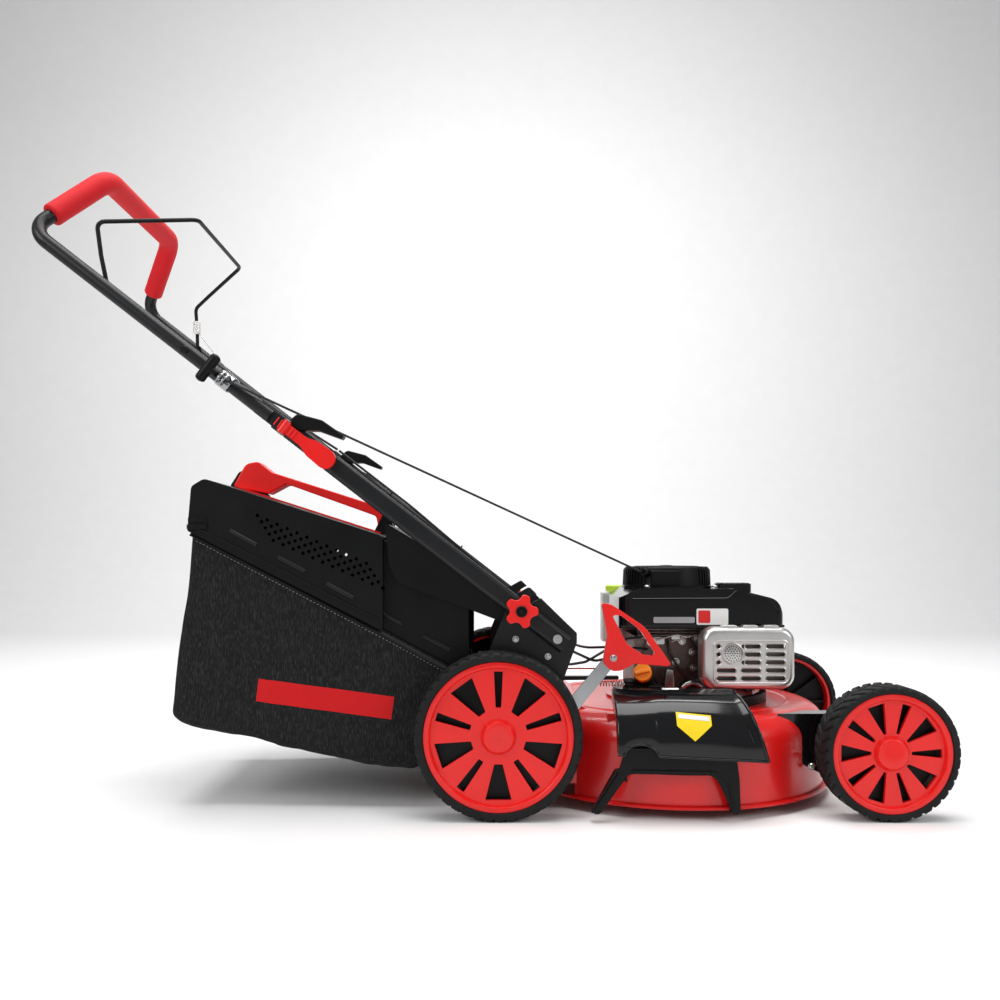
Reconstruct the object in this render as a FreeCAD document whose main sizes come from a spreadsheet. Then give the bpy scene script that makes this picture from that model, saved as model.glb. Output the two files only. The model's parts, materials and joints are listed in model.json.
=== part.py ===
import FreeCAD, Part
import math
import os
import re
from types import SimpleNamespace

import Sketcher
from FreeCAD import Placement, Rotation, Vector

# Walk-behind push mower, side-discharge and rear-bagging, 20 inch (508 mm) cut.
# Frame: +X is the mower's front, +Z is up, -Y is the operator's right-hand side,
# the origin is on the ground under the middle of the mower. Millimetres.

DIMENSIONS = {
    # running gear
    "rear_radius": 127, "front_radius": 102, "rear_axle_x": 7, "front_axle_x": 597,
    "wheel_y": 254, "tyre_width": 56, "rear_rim": 113, "front_rim": 90,
    "axle_radius": 6, "axle_bore": 6.06, "crank_dx": 65.6, "crank_dz": 24,
    "crank_y": 214, "stub_end_y": 265.8, "tab_reach": 24,
    # deck
    "deck_x": 309, "deck_radius": 268, "deck_bottom": 18, "deck_top": 150, "deck_wall": 2.5,
    "deck_roundover": 40, "flange_width": 6, "tunnel_half": 150, "tunnel_floor": 116,
    "tunnel_top": 214, "tunnel_rear_x": -30, "body_half": 200,
    # plates and brackets
    "bracket_y": 222, "bracket_wall": 3, "chute_y": 284, "chute_wall": 3,
    # engine
    "shaft_radius": 12.5, "case_top": 262,
    "filler_x": 262, "filler_y": -66, "filler_z": 184, "filler_length": 48,
    "engine_base_radius": 95, "housing_wall": 3,
    "housing_near": 112, "housing_far": 72, "recoil_radius": 77, "recoil_bottom": 342,
    "recoil_top": 380, "guard_near": 150, "guard_depth": 36, "guard_wall": 2,
    # cutting
    "blade_length": 500,
    # handles
    "handle_y": 239, "tube_radius": 11, "handle_slope": 37.85, "knob_x": 42, "knob_z": 314.7,
    "fold_x": -318, "grip_corner_x": -712, "bar_depth": 30, "bar_width": 18, "foam_radius": 17.5,
    "bolt_radius": 4, "bolt_bore": 4.06, "bail_radius": 3, "pivot_drop": 70,
    "bail_x": -602, "bail_z": 822,
    # bag
    "vent_x": -370, "vent_z": 462, "vent_hole": 3.4,
    "bag_half": 212, "bag_wall": 3, "fabric_half": 204, "door_half": 208, "door_x": 24, "door_z": 306,
    # height lever
    "lever_y": 204.5, "lever_wall": 4, "grip_wall": 12,
}

DOC = FreeCAD.newDocument("PushMower")
SHEET = DOC.addObject("Spreadsheet::Sheet", "Dims")
for row, (alias, amount) in enumerate(DIMENSIONS.items(), start=1):
    SHEET.set("A%d" % row, alias)
    SHEET.set("B%d" % row, str(amount))
    SHEET.setAlias("B%d" % row, alias)
DOC.recompute()
SIZE = SimpleNamespace(**{alias: float(SHEET.get(alias)) for alias in DIMENSIONS})
SLOPE = math.radians(SIZE.handle_slope)
FOLD = (SIZE.knob_x - SIZE.fold_x) / math.cos(SLOPE)
FOLD_Z = SIZE.knob_z + FOLD * math.sin(SLOPE)
LEAN = Rotation(Vector(0, 1, 0), SIZE.handle_slope - 90)
FILLER_WAY = Vector(-12, -44, 18).normalize()

PARTS = []
UP = Vector(0, 0, 1)
ACROSS = Vector(0, 1, 0)


# ---------------------------------------------------------------- helpers

def expression(text):
    """Turn a formula in alias names into one that reads the sheet."""
    return re.sub(r"[a-z][a-z_]+", lambda word: "Dims." + word.group(0)
                  if word.group(0) in DIMENSIONS else word.group(0), text)


def bind(item, **formulas):
    """Bind properties of an object to formulas in the sheet's aliases."""
    for name, text in formulas.items():
        item.setExpression(name.replace("__", "."), expression(text))


def place(item, x="0", y="0", z="0", axis=None, angle=0.0):
    """Give a sub-part its Placement, bound to the sheet."""
    if axis is not None:
        item.Placement = Placement(Vector(), Rotation(axis, angle))
    bind(item, Placement__Base__x=x, Placement__Base__y=y, Placement__Base__z=z)


def keep(item, label):
    """Register a finished sub-part under its node name."""
    item.Label = label
    PARTS.append(item)
    return item


def new_body(label):
    body = DOC.addObject("PartDesign::Body", "Body_" + label)
    return keep(body, label)


def new_sketch(body, role="XZ_Plane"):
    sketch = body.newObject("Sketcher::SketchObject", "Sketch")
    plane = next(item for item in body.Origin.OriginFeatures if item.Role == role)
    sketch.AttachmentSupport = [(plane, "")]
    sketch.MapMode = "FlatFace"
    return sketch


def corner_arc(before, corner, after, radius):
    """The two tangent points and the midpoint of a rounded corner."""
    back = (before - corner).normalize()
    ahead = (after - corner).normalize()
    half = back.getAngle(ahead) / 2
    reach = radius / math.tan(half)
    middle = (back + ahead).normalize() * (radius / math.sin(half) - radius)
    return corner + back * reach, corner + middle, corner + ahead * reach


def rounded_edges(points, radii, closed):
    """Straight runs joined by tangent arcs through a list of corner points."""
    count = len(points)
    stops = []
    for index, point in enumerate(points):
        radius = radii[index]
        if radius and (closed or 0 < index < count - 1):
            stops.append(corner_arc(points[index - 1], point, points[(index + 1) % count], radius))
        else:
            stops.append((point, None, point))
    edges = []
    for index, (start, middle, end) in enumerate(stops):
        if middle is not None:
            edges.append(Part.Arc(start, middle, end))
        following = stops[(index + 1) % count][0]
        if (closed or index < count - 1) and end.distanceToPoint(following) > 1e-6:
            edges.append(Part.LineSegment(end, following))
    return edges


def draw_outline(sketch, outline):
    """Draw a closed outline of (across, up) or (across, up, corner radius) points."""
    points = [Vector(point[0], point[1], 0) for point in outline]
    radii = [point[2] if len(point) > 2 else 0 for point in outline]
    for edge in rounded_edges(points, radii, closed=True):
        sketch.addGeometry(edge, False)


def draw_circle(sketch, radius, x=0.0, y=0.0):
    """Draw a circle whose radius is bound to the sheet."""
    index = sketch.addGeometry(Part.Circle(Vector(x, y, 0), UP, 5.0), False)
    number = sketch.addConstraint(Sketcher.Constraint("Radius", index, 5.0))
    sketch.setExpression("Constraints[%d]" % number, expression(radius))


def pad(body, sketch, length, reverse=False):
    feature = body.newObject("PartDesign::Pad", "Pad")
    feature.Profile = sketch
    feature.Reversed = reverse
    bind(feature, Length=length)
    sketch.Visibility = False
    return feature


def pocket_through(body, sketch):
    """Cut a sketch right through the body, and make sure that something was removed."""
    DOC.recompute()
    before = body.Shape.Volume
    feature = body.newObject("PartDesign::Pocket", "Pocket")
    feature.Profile = sketch
    feature.Type = "ThroughAll"
    DOC.recompute()
    if body.Shape.Volume > before - 1e-3:
        feature.Reversed = True
        DOC.recompute()
    if body.Shape.Volume > before - 1e-3:
        raise RuntimeError(body.Label + ": a pocket removed nothing")
    return feature


def polar(body, feature, count, role="Z_Axis"):
    """Repeat a feature round one of the body's own axes."""
    pattern = body.newObject("PartDesign::PolarPattern", "Pattern")
    pattern.Originals = [feature]
    axis = next(item for item in body.Origin.OriginFeatures if item.Role == role)
    pattern.Axis = (axis, [""])
    pattern.Angle = 360
    pattern.Occurrences = count
    body.Tip = pattern
    DOC.recompute()
    return pattern


def plate(label, outline, face_y, wall, holes=()):
    """A flat piece: an outline in the X-Z plane, its far face at face_y, wall thick."""
    body = new_body(label)
    sketch = new_sketch(body)
    draw_outline(sketch, outline)
    for radius, x, z in holes:
        draw_circle(sketch, radius, x, z)
    pad(body, sketch, wall)
    place(body, y=face_y)
    return body


def lathe(label, outline):
    """A turned piece: a closed (radius, height) outline turned about the body's Z axis."""
    body = new_body(label)
    sketch = new_sketch(body)
    draw_outline(sketch, outline)
    feature = body.newObject("PartDesign::Revolution", "Revolution")
    feature.Profile = sketch
    feature.ReferenceAxis = (sketch, ["V_Axis"])
    feature.Angle = 360
    sketch.Visibility = False
    return body


def cylinder(label, radius, height, x="0", y="0", z="0", axis=None, angle=0.0):
    item = DOC.addObject("Part::Cylinder", "Cylinder_" + label)
    bind(item, Radius=radius, Height=height)
    place(item, x, y, z, axis, angle)
    item.Label = label
    return item


def block(label, length, width, height, x, y, z):
    item = DOC.addObject("Part::Box", "Box_" + label)
    bind(item, Length=length, Width=width, Height=height)
    place(item, x, y, z)
    item.Label = label
    return item


def joined(label, items):
    """Weld primitives into one piece."""
    fuse = DOC.addObject("Part::MultiFuse", "Fuse_" + label)
    fuse.Shapes = items
    fuse.Refine = True
    return keep(fuse, label)


def cut_away(label, base, tools):
    """One piece less a list of tools."""
    for number, tool in enumerate(tools):
        cut = DOC.addObject("Part::Cut", "Cut_%s_%d" % (label, number))
        cut.Base = base
        cut.Tool = tool
        base = cut
    return keep(base, label)


def free_form(label, shape):
    """A piece that neither a sketch nor a primitive makes."""
    item = DOC.addObject("Part::Feature", "Shape_" + label)
    item.Shape = shape
    item.Placement = shape.Placement
    return keep(item, label)


def prism(outline, y_low, y_high):
    """A solid: an X-Z outline with optional corner radii, from y_low to y_high."""
    points = [Vector(point[0], y_low, point[1]) for point in outline]
    radii = [point[2] if len(point) > 2 else 0 for point in outline]
    edges = [edge.toShape() for edge in rounded_edges(points, radii, closed=True)]
    return Part.Face(Part.Wire(edges)).extrude(ACROSS * (y_high - y_low))


def slab(outline, z_low, z_high):
    """A solid: an X-Y outline with optional corner radii, from z_low to z_high."""
    points = [Vector(point[0], point[1], z_low) for point in outline]
    radii = [point[2] if len(point) > 2 else 0 for point in outline]
    edges = [edge.toShape() for edge in rounded_edges(points, radii, closed=True)]
    return Part.Face(Part.Wire(edges)).extrude(UP * (z_high - z_low))


def box_between(low, high):
    return Part.makeBox(high[0] - low[0], high[1] - low[1], high[2] - low[2], Vector(*low))


def rod(start, end, radius):
    along = Vector(*end) - Vector(*start)
    return Part.makeCylinder(radius, along.Length, Vector(*start), along)


def bent_tube(points, radii, radius, bore=0.0):
    """A tube or wire along straight runs joined by tangent arcs."""
    corners = [Vector(*point) for point in points]
    bends = [0] + list(radii) + [0]
    path = Part.Wire([edge.toShape() for edge in rounded_edges(corners, bends, closed=False)])
    along = corners[1] - corners[0]
    outer = Part.Wire(Part.Circle(corners[0], along, radius).toShape())
    solid = path.makePipeShell([outer], True, False)
    if not bore:
        return solid
    inner = Part.Wire(Part.Circle(corners[0], along, bore).toShape())
    return solid.cut(path.makePipeShell([inner], True, False))


def mirrored(shape):
    """The same piece on the other side of the mower."""
    return shape.mirror(Vector(), ACROSS)


def edges_along(shape, direction, test):
    """Straight edges parallel to a direction whose midpoint passes a test."""
    found = []
    for edge in shape.Edges:
        if edge.Curve.TypeId != "Part::GeomLine":
            continue
        if abs(edge.tangentAt(edge.FirstParameter).dot(direction)) < 0.999:
            continue
        if test(edge.CenterOfMass):
            found.append(edge)
    return found


def on_handle(distance):
    """A point (x, z) on the handle's line, measured up it from the clamp knob."""
    return SIZE.knob_x - distance * math.cos(SLOPE), SIZE.knob_z + distance * math.sin(SLOPE)


# ---------------------------------------------------------------- wheels

def tyre(label, radius, rim_radius, side):
    """A solid tyre ring, chamfered to its tread, that grips the rim."""
    half = SIZE.tyre_width / 2
    outline = [(rim_radius, 3 - half), (rim_radius + 3, -half), (radius - 6, -half), (radius, 7 - half),
               (radius, half - 7), (radius - 6, half), (rim_radius + 3, half), (rim_radius, half - 3)]
    place_wheel(lathe(label, outline), side)


def place_wheel(body, side):
    """Turn a wheel piece so that its outer face looks away from the mower, on its axle."""
    end = body.Label.split("_")[0]
    place(body, end + "_axle_x", "%d * wheel_y" % side, end + "_radius", Vector(1, 0, 0), -90 * side)


def rim(label, radius, side, phase, windows):
    """A moulded rim: barrel, ten spokes round five wide and five narrow windows, and a cap."""
    half = SIZE.tyre_width / 2
    bore = SIZE.axle_bore
    disc = half - 10
    outline = [(bore, -20), (20, -20), (20, disc - 6), (radius - 9, disc - 6), (radius - 5, disc - 12),
               (radius - 5, 6 - half), (radius, 6 - half), (radius, half - 3, 1),
               (radius - 8, half - 3, 2), (radius - 11, disc, 1), (27, disc), (22, half - 1, 3),
               (0, half), (0, 12), (bore, 12)]
    body = lathe(label, outline)
    for turn, (inner, outer, inner_spread, outer_spread) in zip((phase, phase + 36), windows):
        sketch = new_sketch(body, "XY_Plane")
        window = []
        for reach, spread in ((inner, inner_spread), (outer, outer_spread),
                              (outer, -outer_spread), (inner, -inner_spread)):
            bearing = math.radians(turn + spread)
            window.append((radius * reach * math.cos(bearing), radius * reach * math.sin(bearing), 1.2))
        draw_outline(sketch, window)
        polar(body, pocket_through(body, sketch), 5)
    place_wheel(body, side)


# Each pair of window shapes: inner and outer reach as shares of the rim, and half-angles there.
REAR_WINDOWS = ((0.37, 0.86, 8.6, 11.8), (0.39, 0.87, 5.5, 3.9))
FRONT_WINDOWS = ((0.33, 0.85, 4.0, 10.0), (0.34, 0.85, 4.6, 5.2))


def wheels():
    for end, radius, ring, phase, windows in (
            ("rear", SIZE.rear_radius, SIZE.rear_rim, 54, REAR_WINDOWS),
            ("front", SIZE.front_radius, SIZE.front_rim, 36, FRONT_WINDOWS)):
        for side, name in ((-1, "near"), (1, "far")):
            tyre("%s_tyre_%s" % (end, name), radius, ring, side)
            rim("%s_rim_%s" % (end, name), ring, side, phase, windows)


# ---------------------------------------------------------------- axles and height setting

def cranked_axle(label, wheel_x, wheel_z, pivot_side, extra=()):
    """A cross rod in the deck with an arm and a wheel stub welded on at each end."""
    pivot_x = "%s %s crank_dx" % (wheel_x, "+" if pivot_side > 0 else "-")
    pivot_z = "%s - crank_dz" % wheel_z
    pieces = [cylinder(label + "_rod", "axle_radius", "2 * crank_y + 6", pivot_x, "-crank_y - 3",
                       pivot_z, Vector(1, 0, 0), -90)]
    arm = math.hypot(SIZE.crank_dx, SIZE.crank_dz)
    lean = math.degrees(math.atan2(SIZE.crank_dz, -SIZE.crank_dx * pivot_side))
    tilt = Rotation(ACROSS, -lean)
    corner = tilt.multVec(Vector(0, 0, -8))
    for side in (-1, 1):
        stub = cylinder("%s_stub_%d" % (label, side + 1), "axle_radius", "stub_end_y - crank_y + 3",
                        wheel_x, "%d * crank_y - 3 * %d" % (side, side), wheel_z,
                        Vector(1, 0, 0), -90 * side)
        strap = DOC.addObject("Part::Box", "Box_%s_arm_%d" % (label, side + 1))
        strap.Length = arm
        strap.Width = 6
        strap.Height = 16
        strap.Placement = Placement(Vector(), tilt)
        place(strap, "%s + %.4f" % (pivot_x, corner.x), "%d * crank_y - 3" % side,
              "%s + %.4f" % (pivot_z, corner.z))
        pieces.extend([stub, strap])
    tab_low = "%s - %s" % (pivot_z, "8" if pivot_side > 0 else "tab_reach - 8")
    stud_z = "%s %s tab_reach" % (pivot_z, "+" if pivot_side > 0 else "-")
    pieces.append(block(label + "_tab", "16", "6", "tab_reach + 16", pivot_x + " - 8", "crank_y - 3",
                        tab_low))
    pieces.append(cylinder(label + "_stud", "3", "9", pivot_x, "crank_y - 11", stud_z,
                           Vector(1, 0, 0), -90))
    return joined(label, pieces + list(extra))


def pivot_of(end):
    """Where the cranked axle turns, at the rear or the front."""
    if end == "rear":
        return SIZE.rear_axle_x + SIZE.crank_dx, SIZE.rear_radius - SIZE.crank_dz
    return SIZE.front_axle_x - SIZE.crank_dx, SIZE.front_radius - SIZE.crank_dz


def height_link():
    """The wire that ties the cranked axles: a close eye at the rear, a loose one at the front."""
    rear = pivot_of("rear")
    front = pivot_of("front")
    y = SIZE.crank_y - 6.5
    studs = [(rear[0], rear[1] + SIZE.tab_reach), (front[0], front[1] - SIZE.tab_reach)]
    wire = bent_tube([(studs[0][0] + 4, y, studs[0][1] + 4), (122, y, 174), (474, y, 174),
                      (510, y, 138), (510, y, 62), (studs[1][0] - 4, y, studs[1][1] + 4)],
                     [24, 20, 20, 9], 2.5)
    eyes = []
    holes = []
    for (x, z), outer, inner in ((studs[0], 7, 3.06), (studs[1], 9.5, 5.6)):
        eyes.append(rod((x, y - 2, z), (x, y + 2, z), outer))
        holes.append(rod((x, y - 3, z), (x, y + 3, z), inner))
    return free_form("height_link", wire.fuse(eyes).cut(holes))


def height_lever():
    """The steel strip that is welded on the rear rod: returned, not kept, to be welded there."""
    pivot_x, pivot_z = pivot_of("rear")
    strip = [(pivot_x - 10, pivot_z - 10, 9), (pivot_x + 8, pivot_z - 10, 9), (194, 233, 6),
             (193, 248, 6), (179, 246, 6), (pivot_x - 9, pivot_z + 5, 7)]
    body = plate("height_lever", strip, "-lever_y", "lever_wall")
    PARTS.remove(body)
    return body


def height_lever_grip():
    """The moulded grip on the lever: a fin with a lens-shaped window."""
    grip = [(168, 326, 3), (184, 323, 20), (236, 288, 60), (277, 229, 3), (270, 227, 3),
            (220, 231, 10), (198, 220, 12), (184, 219, 14), (170, 232, 14), (177, 274, 20)]
    body = plate("height_lever_grip", grip, "-lever_y - lever_wall", "grip_wall")
    sketch = new_sketch(body)
    draw_outline(sketch, [(184, 307, 3), (198, 306, 10), (228, 284, 60), (254, 243, 4), (234, 244, 14),
                          (208, 261, 20)])
    pocket_through(body, sketch)


# ---------------------------------------------------------------- deck

def deck_solid(inset):
    """The deck's volume, set in by inset all round and on top."""
    radius = SIZE.deck_radius - inset
    top = SIZE.deck_top - inset
    low = SIZE.deck_bottom - (30 if inset else 0)
    centre = Vector(SIZE.deck_x, 0, low)
    dome = Part.makeCylinder(radius, top - low, centre)
    rim_edge = [edge for edge in dome.Edges if abs(edge.CenterOfMass.z - top) < 1e-3
                and edge.Curve.TypeId == "Part::GeomCircle"]
    dome = dome.makeFillet(SIZE.deck_roundover - inset, rim_edge)
    half = SIZE.body_half - inset
    tail = slab([(30 + inset, -half, 34), (SIZE.deck_x, -half), (SIZE.deck_x, half),
                 (30 + inset, half, 34)], SIZE.deck_bottom + 22 - (52 if inset else 0), 138 - inset)
    tail = tail.makeFillet(14, edges_along(tail, Vector(1, 0, 0), lambda at: at.z > 100))
    width = SIZE.tunnel_half - inset
    run = [(SIZE.tunnel_rear_x - inset * 2, SIZE.tunnel_floor + inset),
           (SIZE.tunnel_rear_x - inset * 2, SIZE.tunnel_top - inset), (40, SIZE.tunnel_top - inset),
           (150, SIZE.deck_top - inset), (170, SIZE.tunnel_floor + inset)]
    return dome.fuse([tail, prism(run, -width, width)])


def deck_shell():
    """Pressed steel deck: round blade chamber, square tail, raised grass tunnel, flap hinge."""
    shell = deck_solid(0).cut(deck_solid(SIZE.deck_wall))
    floor = Vector(SIZE.deck_x, 0, SIZE.deck_bottom)
    lip = Part.makeCylinder(SIZE.deck_radius + SIZE.flange_width, 3, floor)
    lip = lip.cut(Part.makeCylinder(SIZE.deck_radius - 1, 3, floor))
    base = Part.makeCylinder(SIZE.engine_base_radius + 13, 6, Vector(SIZE.deck_x, 0, SIZE.deck_top - 2))
    pin = rod((190, -214, 186), (364, -214, 186), 2.5)
    lugs = [box_between((x, -218, 142), (x + 6, -210, 190)) for x in (215, 334)]
    bolster = box_between((177, -219, 142), (383, -206, 153)).cut(deck_solid(0))
    shell = shell.fuse([lip, base, pin, bolster] + lugs)
    side_mouth = box_between((206, -300, 42), (354, -190, 122))
    shaft_hole = rod((SIZE.deck_x, 0, 100), (SIZE.deck_x, 0, 200), 34)
    cuts = [side_mouth, shaft_hole]
    for end in ("rear", "front"):
        x, z = pivot_of(end)
        cuts.append(rod((x, -300, z), (x, 300, z), SIZE.axle_bore))
    return free_form("deck_shell", shell.cut(cuts).removeSplitter())


def rear_brackets():
    """The black side plates: handle pivot, an open arc slot for the clamp bolt, door pin hole."""
    outline = [(-8, 158, 14), (-8, 250, 30), (28, 336, 14), (55, 351, 5), (129, 279, 4),
               (129, 264, 4), (108, 206, 20), (102, 84, 12), (46, 84, 12), (30, 150, 20)]
    pivot = Vector(*on_handle(-SIZE.pivot_drop), 0)
    holes = (("bolt_bore", pivot.x, pivot.y), ("bolt_bore", SIZE.door_x, SIZE.door_z))
    for label, face in (("rear_bracket_near", "-bracket_y"),
                        ("rear_bracket_far", "bracket_y + bracket_wall")):
        body = plate(label, outline, face, "bracket_wall", holes)
        sketch = new_sketch(body)
        rest = math.radians(180 - SIZE.handle_slope)
        turns = (rest + 0.058, rest - 0.35, rest - 0.75)
        ends = []
        for radius in (SIZE.pivot_drop - 4.2, SIZE.pivot_drop + 4.2):
            ends.append([pivot + Vector(math.cos(turn), math.sin(turn), 0) * radius for turn in turns])
        inner, outer = ends
        sketch.addGeometry(Part.Arc(*inner), False)
        sketch.addGeometry(Part.Arc(*outer), False)
        sketch.addGeometry(Part.LineSegment(inner[0], outer[0]), False)
        sketch.addGeometry(Part.LineSegment(inner[2], outer[2]), False)
        pocket_through(body, sketch)


def front_brackets():
    """The black shoulder brackets that carry the front rod, with a folded top."""
    pivot_x, pivot_z = pivot_of("front")
    side = [(446, 146, 3), (450, 150, 3), (560, 150, 10), (560, 66, 16), (516, 56, 14),
            (486, 70, 20), (470, 118, 40)]
    for label, sign in (("front_bracket_near", -1), ("front_bracket_far", 1)):
        inner = SIZE.crank_y - 13
        wall = prism(side, -inner, -inner + 3)
        top = slab([(452, -inner, 0), (560, -inner, 0), (560, -168, 10), (498, -168, 30)], 147, 150)
        axle_hole = rod((pivot_x, -300, pivot_z), (pivot_x, 0, pivot_z), SIZE.axle_bore)
        piece = wall.fuse(top).cut([axle_hole, deck_solid(0)])
        free_form(label, piece if sign < 0 else mirrored(piece))


def side_chute():
    """The moulded frame that stands in front of the deck's side mouth on two splayed legs."""
    y = -SIZE.chute_y
    wall = SIZE.chute_wall
    legs = [(146, 14, 3), (157, 14, 3), (200, 74, 18), (330, 72, 22), (357, 14, 3), (368, 14, 3),
            (366, 66, 8), (360, 112, 4), (196, 112, 4), (184, 72, 12)]
    face = prism(legs, y, y + wall)
    shelf = prism([(196, 112), (196, 109), (360, 109), (360, 112)], y, y + 18)
    cheeks = [prism([(x, 62), (x + wall, 62), (x + wall, 112), (x, 112)], y, y + 18) for x in (196, 357)]
    frame = face.fuse([shelf] + cheeks).removeSplitter()
    return free_form("side_chute", frame)


def side_flap():
    """The sprung discharge flap: a curved moulded shell hinged along the deck, longer at the front."""
    section = [(-214, 186), (-232, 184), (-262, 172), (-284, 152), (-296, 122), (-296, 98)]
    wall = 3.0
    inside = [(-293, 98), (-293, 120), (-281.5, 149.5), (-260.5, 169), (-231, 181)]
    profile = Part.Face(Part.makePolygon([Vector(184, y, z) for y, z in section + inside + section[:1]]))
    shell = profile.extrude(Vector(224, 0, 0))
    cheek = section + [(-287, 98), (-287, 116), (-232, 166), (-214, 178)]
    cheek_face = Part.Face(Part.makePolygon([Vector(184, y, z) for y, z in cheek + cheek[:1]]))
    front_trim = slab([(368, -200), (368, -216), (406, -297), (406, -310), (430, -310), (430, -200)],
                      60, 220)
    notch = rod((226, -300, 66), (226, -285, 66), 40)
    coil_room = box_between((259, -224, 174), (291, -200, 198))
    rooms = [coil_room] + [box_between((x, -224, 174), (x + 10, -200, 198)) for x in (213, 332)]
    leaf = shell.fuse(cheek_face.extrude(Vector(wall, 0, 0))).cut(rooms + [notch])
    barrel = rod((190, -214, 186), (364, -214, 186), 5).cut(rooms)
    pin_hole = rod((180, -214, 186), (410, -214, 186), 2.56)
    return free_form("side_flap", leaf.fuse(barrel).cut([pin_hole, front_trim]))


def flap_spring():
    """The torsion spring on the flap's hinge pin."""
    coil = rod((262, -214, 186), (288, -214, 186), 7.5).cut(rod((262, -214, 186), (288, -214, 186), 5.3))
    arm = rod((263, -214 - 6.6, 187), (263, -214 - 36, 194), 0.9)
    return free_form("flap_spring", coil.fuse(arm))


# ---------------------------------------------------------------- engine

def crankcase():
    """The cast case: base flange, block, mainshaft bore with its chamber, and oil filler tube."""
    flange = cylinder("case_flange", "engine_base_radius", "12", "deck_x", "0", "deck_top + 4")
    block_item = block("case_block", "136", "140", "case_top - deck_top - 6", "deck_x - 68", "-70",
                       "deck_top + 6")
    lean = Rotation(UP, FILLER_WAY)
    degrees = math.degrees(lean.Angle)
    filler = cylinder("case_filler", "12", "filler_length", "filler_x", "filler_y", "filler_z",
                      lean.Axis, degrees)
    casting = DOC.addObject("Part::MultiFuse", "Fuse_casting")
    casting.Shapes = [flange, block_item, filler]
    chamber = cylinder("case_chamber", "56", "60", "deck_x", "0", "185")
    bore = cylinder("case_bore", "shaft_radius + 0.05", "200", "deck_x", "0", "deck_top")
    cylinder_bore = cylinder("case_cylinder_bore", "31", "90", "deck_x", "0", "215", ACROSS, 90)
    filler_bore = cylinder("case_filler_bore", "9", "filler_length + 1", "filler_x", "filler_y",
                           "filler_z", lean.Axis, degrees)
    return cut_away("crankcase", casting, [chamber, bore, cylinder_bore, filler_bore])


def oil_cap():
    """The oil filler's cap with its finger bar and dipstick."""
    tip = Vector(SIZE.filler_x, SIZE.filler_y, SIZE.filler_z) + FILLER_WAY * (SIZE.filler_length + 0.2)
    cap = rod(tuple(tip), tuple(tip + FILLER_WAY * 12), 15)
    stick = rod(tuple(tip - FILLER_WAY * 30), tuple(tip), 3)
    bar = Part.makeBox(24, 6, 6, Vector(-12, -3, 0))
    bar.Placement = Placement(tip + FILLER_WAY * 11, Rotation(UP, FILLER_WAY))
    return free_form("oil_cap", cap.fuse([stick, bar]))


def cylinder_block():
    """The finned cylinder with its head, pointing forward from the case."""
    x = SIZE.deck_x + 68
    pieces = [rod((x, 0, 215), (x + 86, 0, 215), 38)]
    for number in range(7):
        at = x + 6 + number * 11
        pieces.append(box_between((at, -58, 166), (at + 3, 58, 264)))
    pieces.append(box_between((x + 86, -56, 168), (x + 108, 56, 262)))
    body = pieces[0].fuse(pieces[1:]).cut(rod((x - 1, 0, 215), (x + 84, 0, 215), 31))
    plug_hole = rod((x + 84, 24, 215), (x + 110, 24, 215), 7.05)
    return free_form("cylinder", body.cut(plug_hole).removeSplitter())


def piston():
    """The piston, drawn at the middle of its stroke in the cylinder bore."""
    x = SIZE.deck_x + 100
    crown = rod((x, 0, 215), (x + 34, 0, 215), 30.9)
    hollow = rod((x - 1, 0, 215), (x + 28, 0, 215), 26)
    return free_form("piston", crown.cut(hollow))


def spark_plug():
    """The plug screwed into the head, with its rubber boot."""
    x = SIZE.deck_x + 158
    parts = [rod((x, 24, 215), (x + 20, 24, 215), 7), rod((x + 18, 24, 215), (x + 28, 24, 215), 10),
             rod((x + 28, 24, 215), (x + 50, 24, 215), 9)]
    return free_form("spark_plug", parts[0].fuse(parts[1:]))


def housing_solid(inset):
    """The fan housing's volume, set in by inset: rounded in plan, sloping over the cylinder."""
    left = 211 + inset
    right = 488 - inset
    near = -SIZE.housing_near + inset
    far = SIZE.housing_far - inset
    base = 278 - (20 if inset else 0)
    plan = slab([(left, near, 18), (right, near, 18), (right, far, 18), (left, far, 18)], base, 400)
    top = SIZE.recoil_bottom + 2 - inset
    roof = [(190, 200), (190, top - 26), (240, top, 20), (404, top, 40),
            (476 - inset, top - 18, 30), (494 - inset, 284), (494 - inset, 200)]
    return plan.common(prism(roof, near - 5, far + 5))


def blower_housing():
    """The moulded fan housing over the engine, open below and round the fan."""
    fan_hole = rod((SIZE.deck_x, 0, 330), (SIZE.deck_x, 0, 400), SIZE.recoil_radius - 8)
    cap = slab([(392, -56, 10), (448, -56, 10), (448, -4, 10), (392, -4, 10)], 336, 351)
    shell = housing_solid(0).cut([housing_solid(SIZE.housing_wall), fan_hole])
    return free_form("blower_housing", shell.fuse(cap))


def recoil_cover():
    """The starter's cover: a drum with a slotted side, and the spindle of the rope pulley."""
    base = SIZE.recoil_bottom + 2.3
    top = SIZE.recoil_top
    radius = SIZE.recoil_radius
    drum = [(radius, base), (radius, base + 4), (radius - 1, base + 4), (radius - 4, top, 4), (0, top),
            (0, base + 4), (7, base + 4), (7, top - 3), (radius - 7, top - 3, 3), (radius - 4, base)]
    body = lathe("recoil_cover", drum)
    sketch = new_sketch(body)
    for x in (14, 26, 38):
        draw_outline(sketch, [(x, base + 9), (x + 7, base + 9), (x + 7, base + 18), (x, base + 18)])
    pocket_through(body, sketch)
    place(body, x="deck_x")
    return body


def recoil_pulley():
    """The rope pulley that turns on the cover's spindle."""
    low = SIZE.recoil_bottom + 10
    outline = [(7.1, low), (50, low), (50, low + 2), (42, low + 4), (42, low + 9), (50, low + 11),
               (50, low + 13), (7.1, low + 13)]
    body = lathe("recoil_pulley", outline)
    place(body, x="deck_x")
    return body


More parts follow.
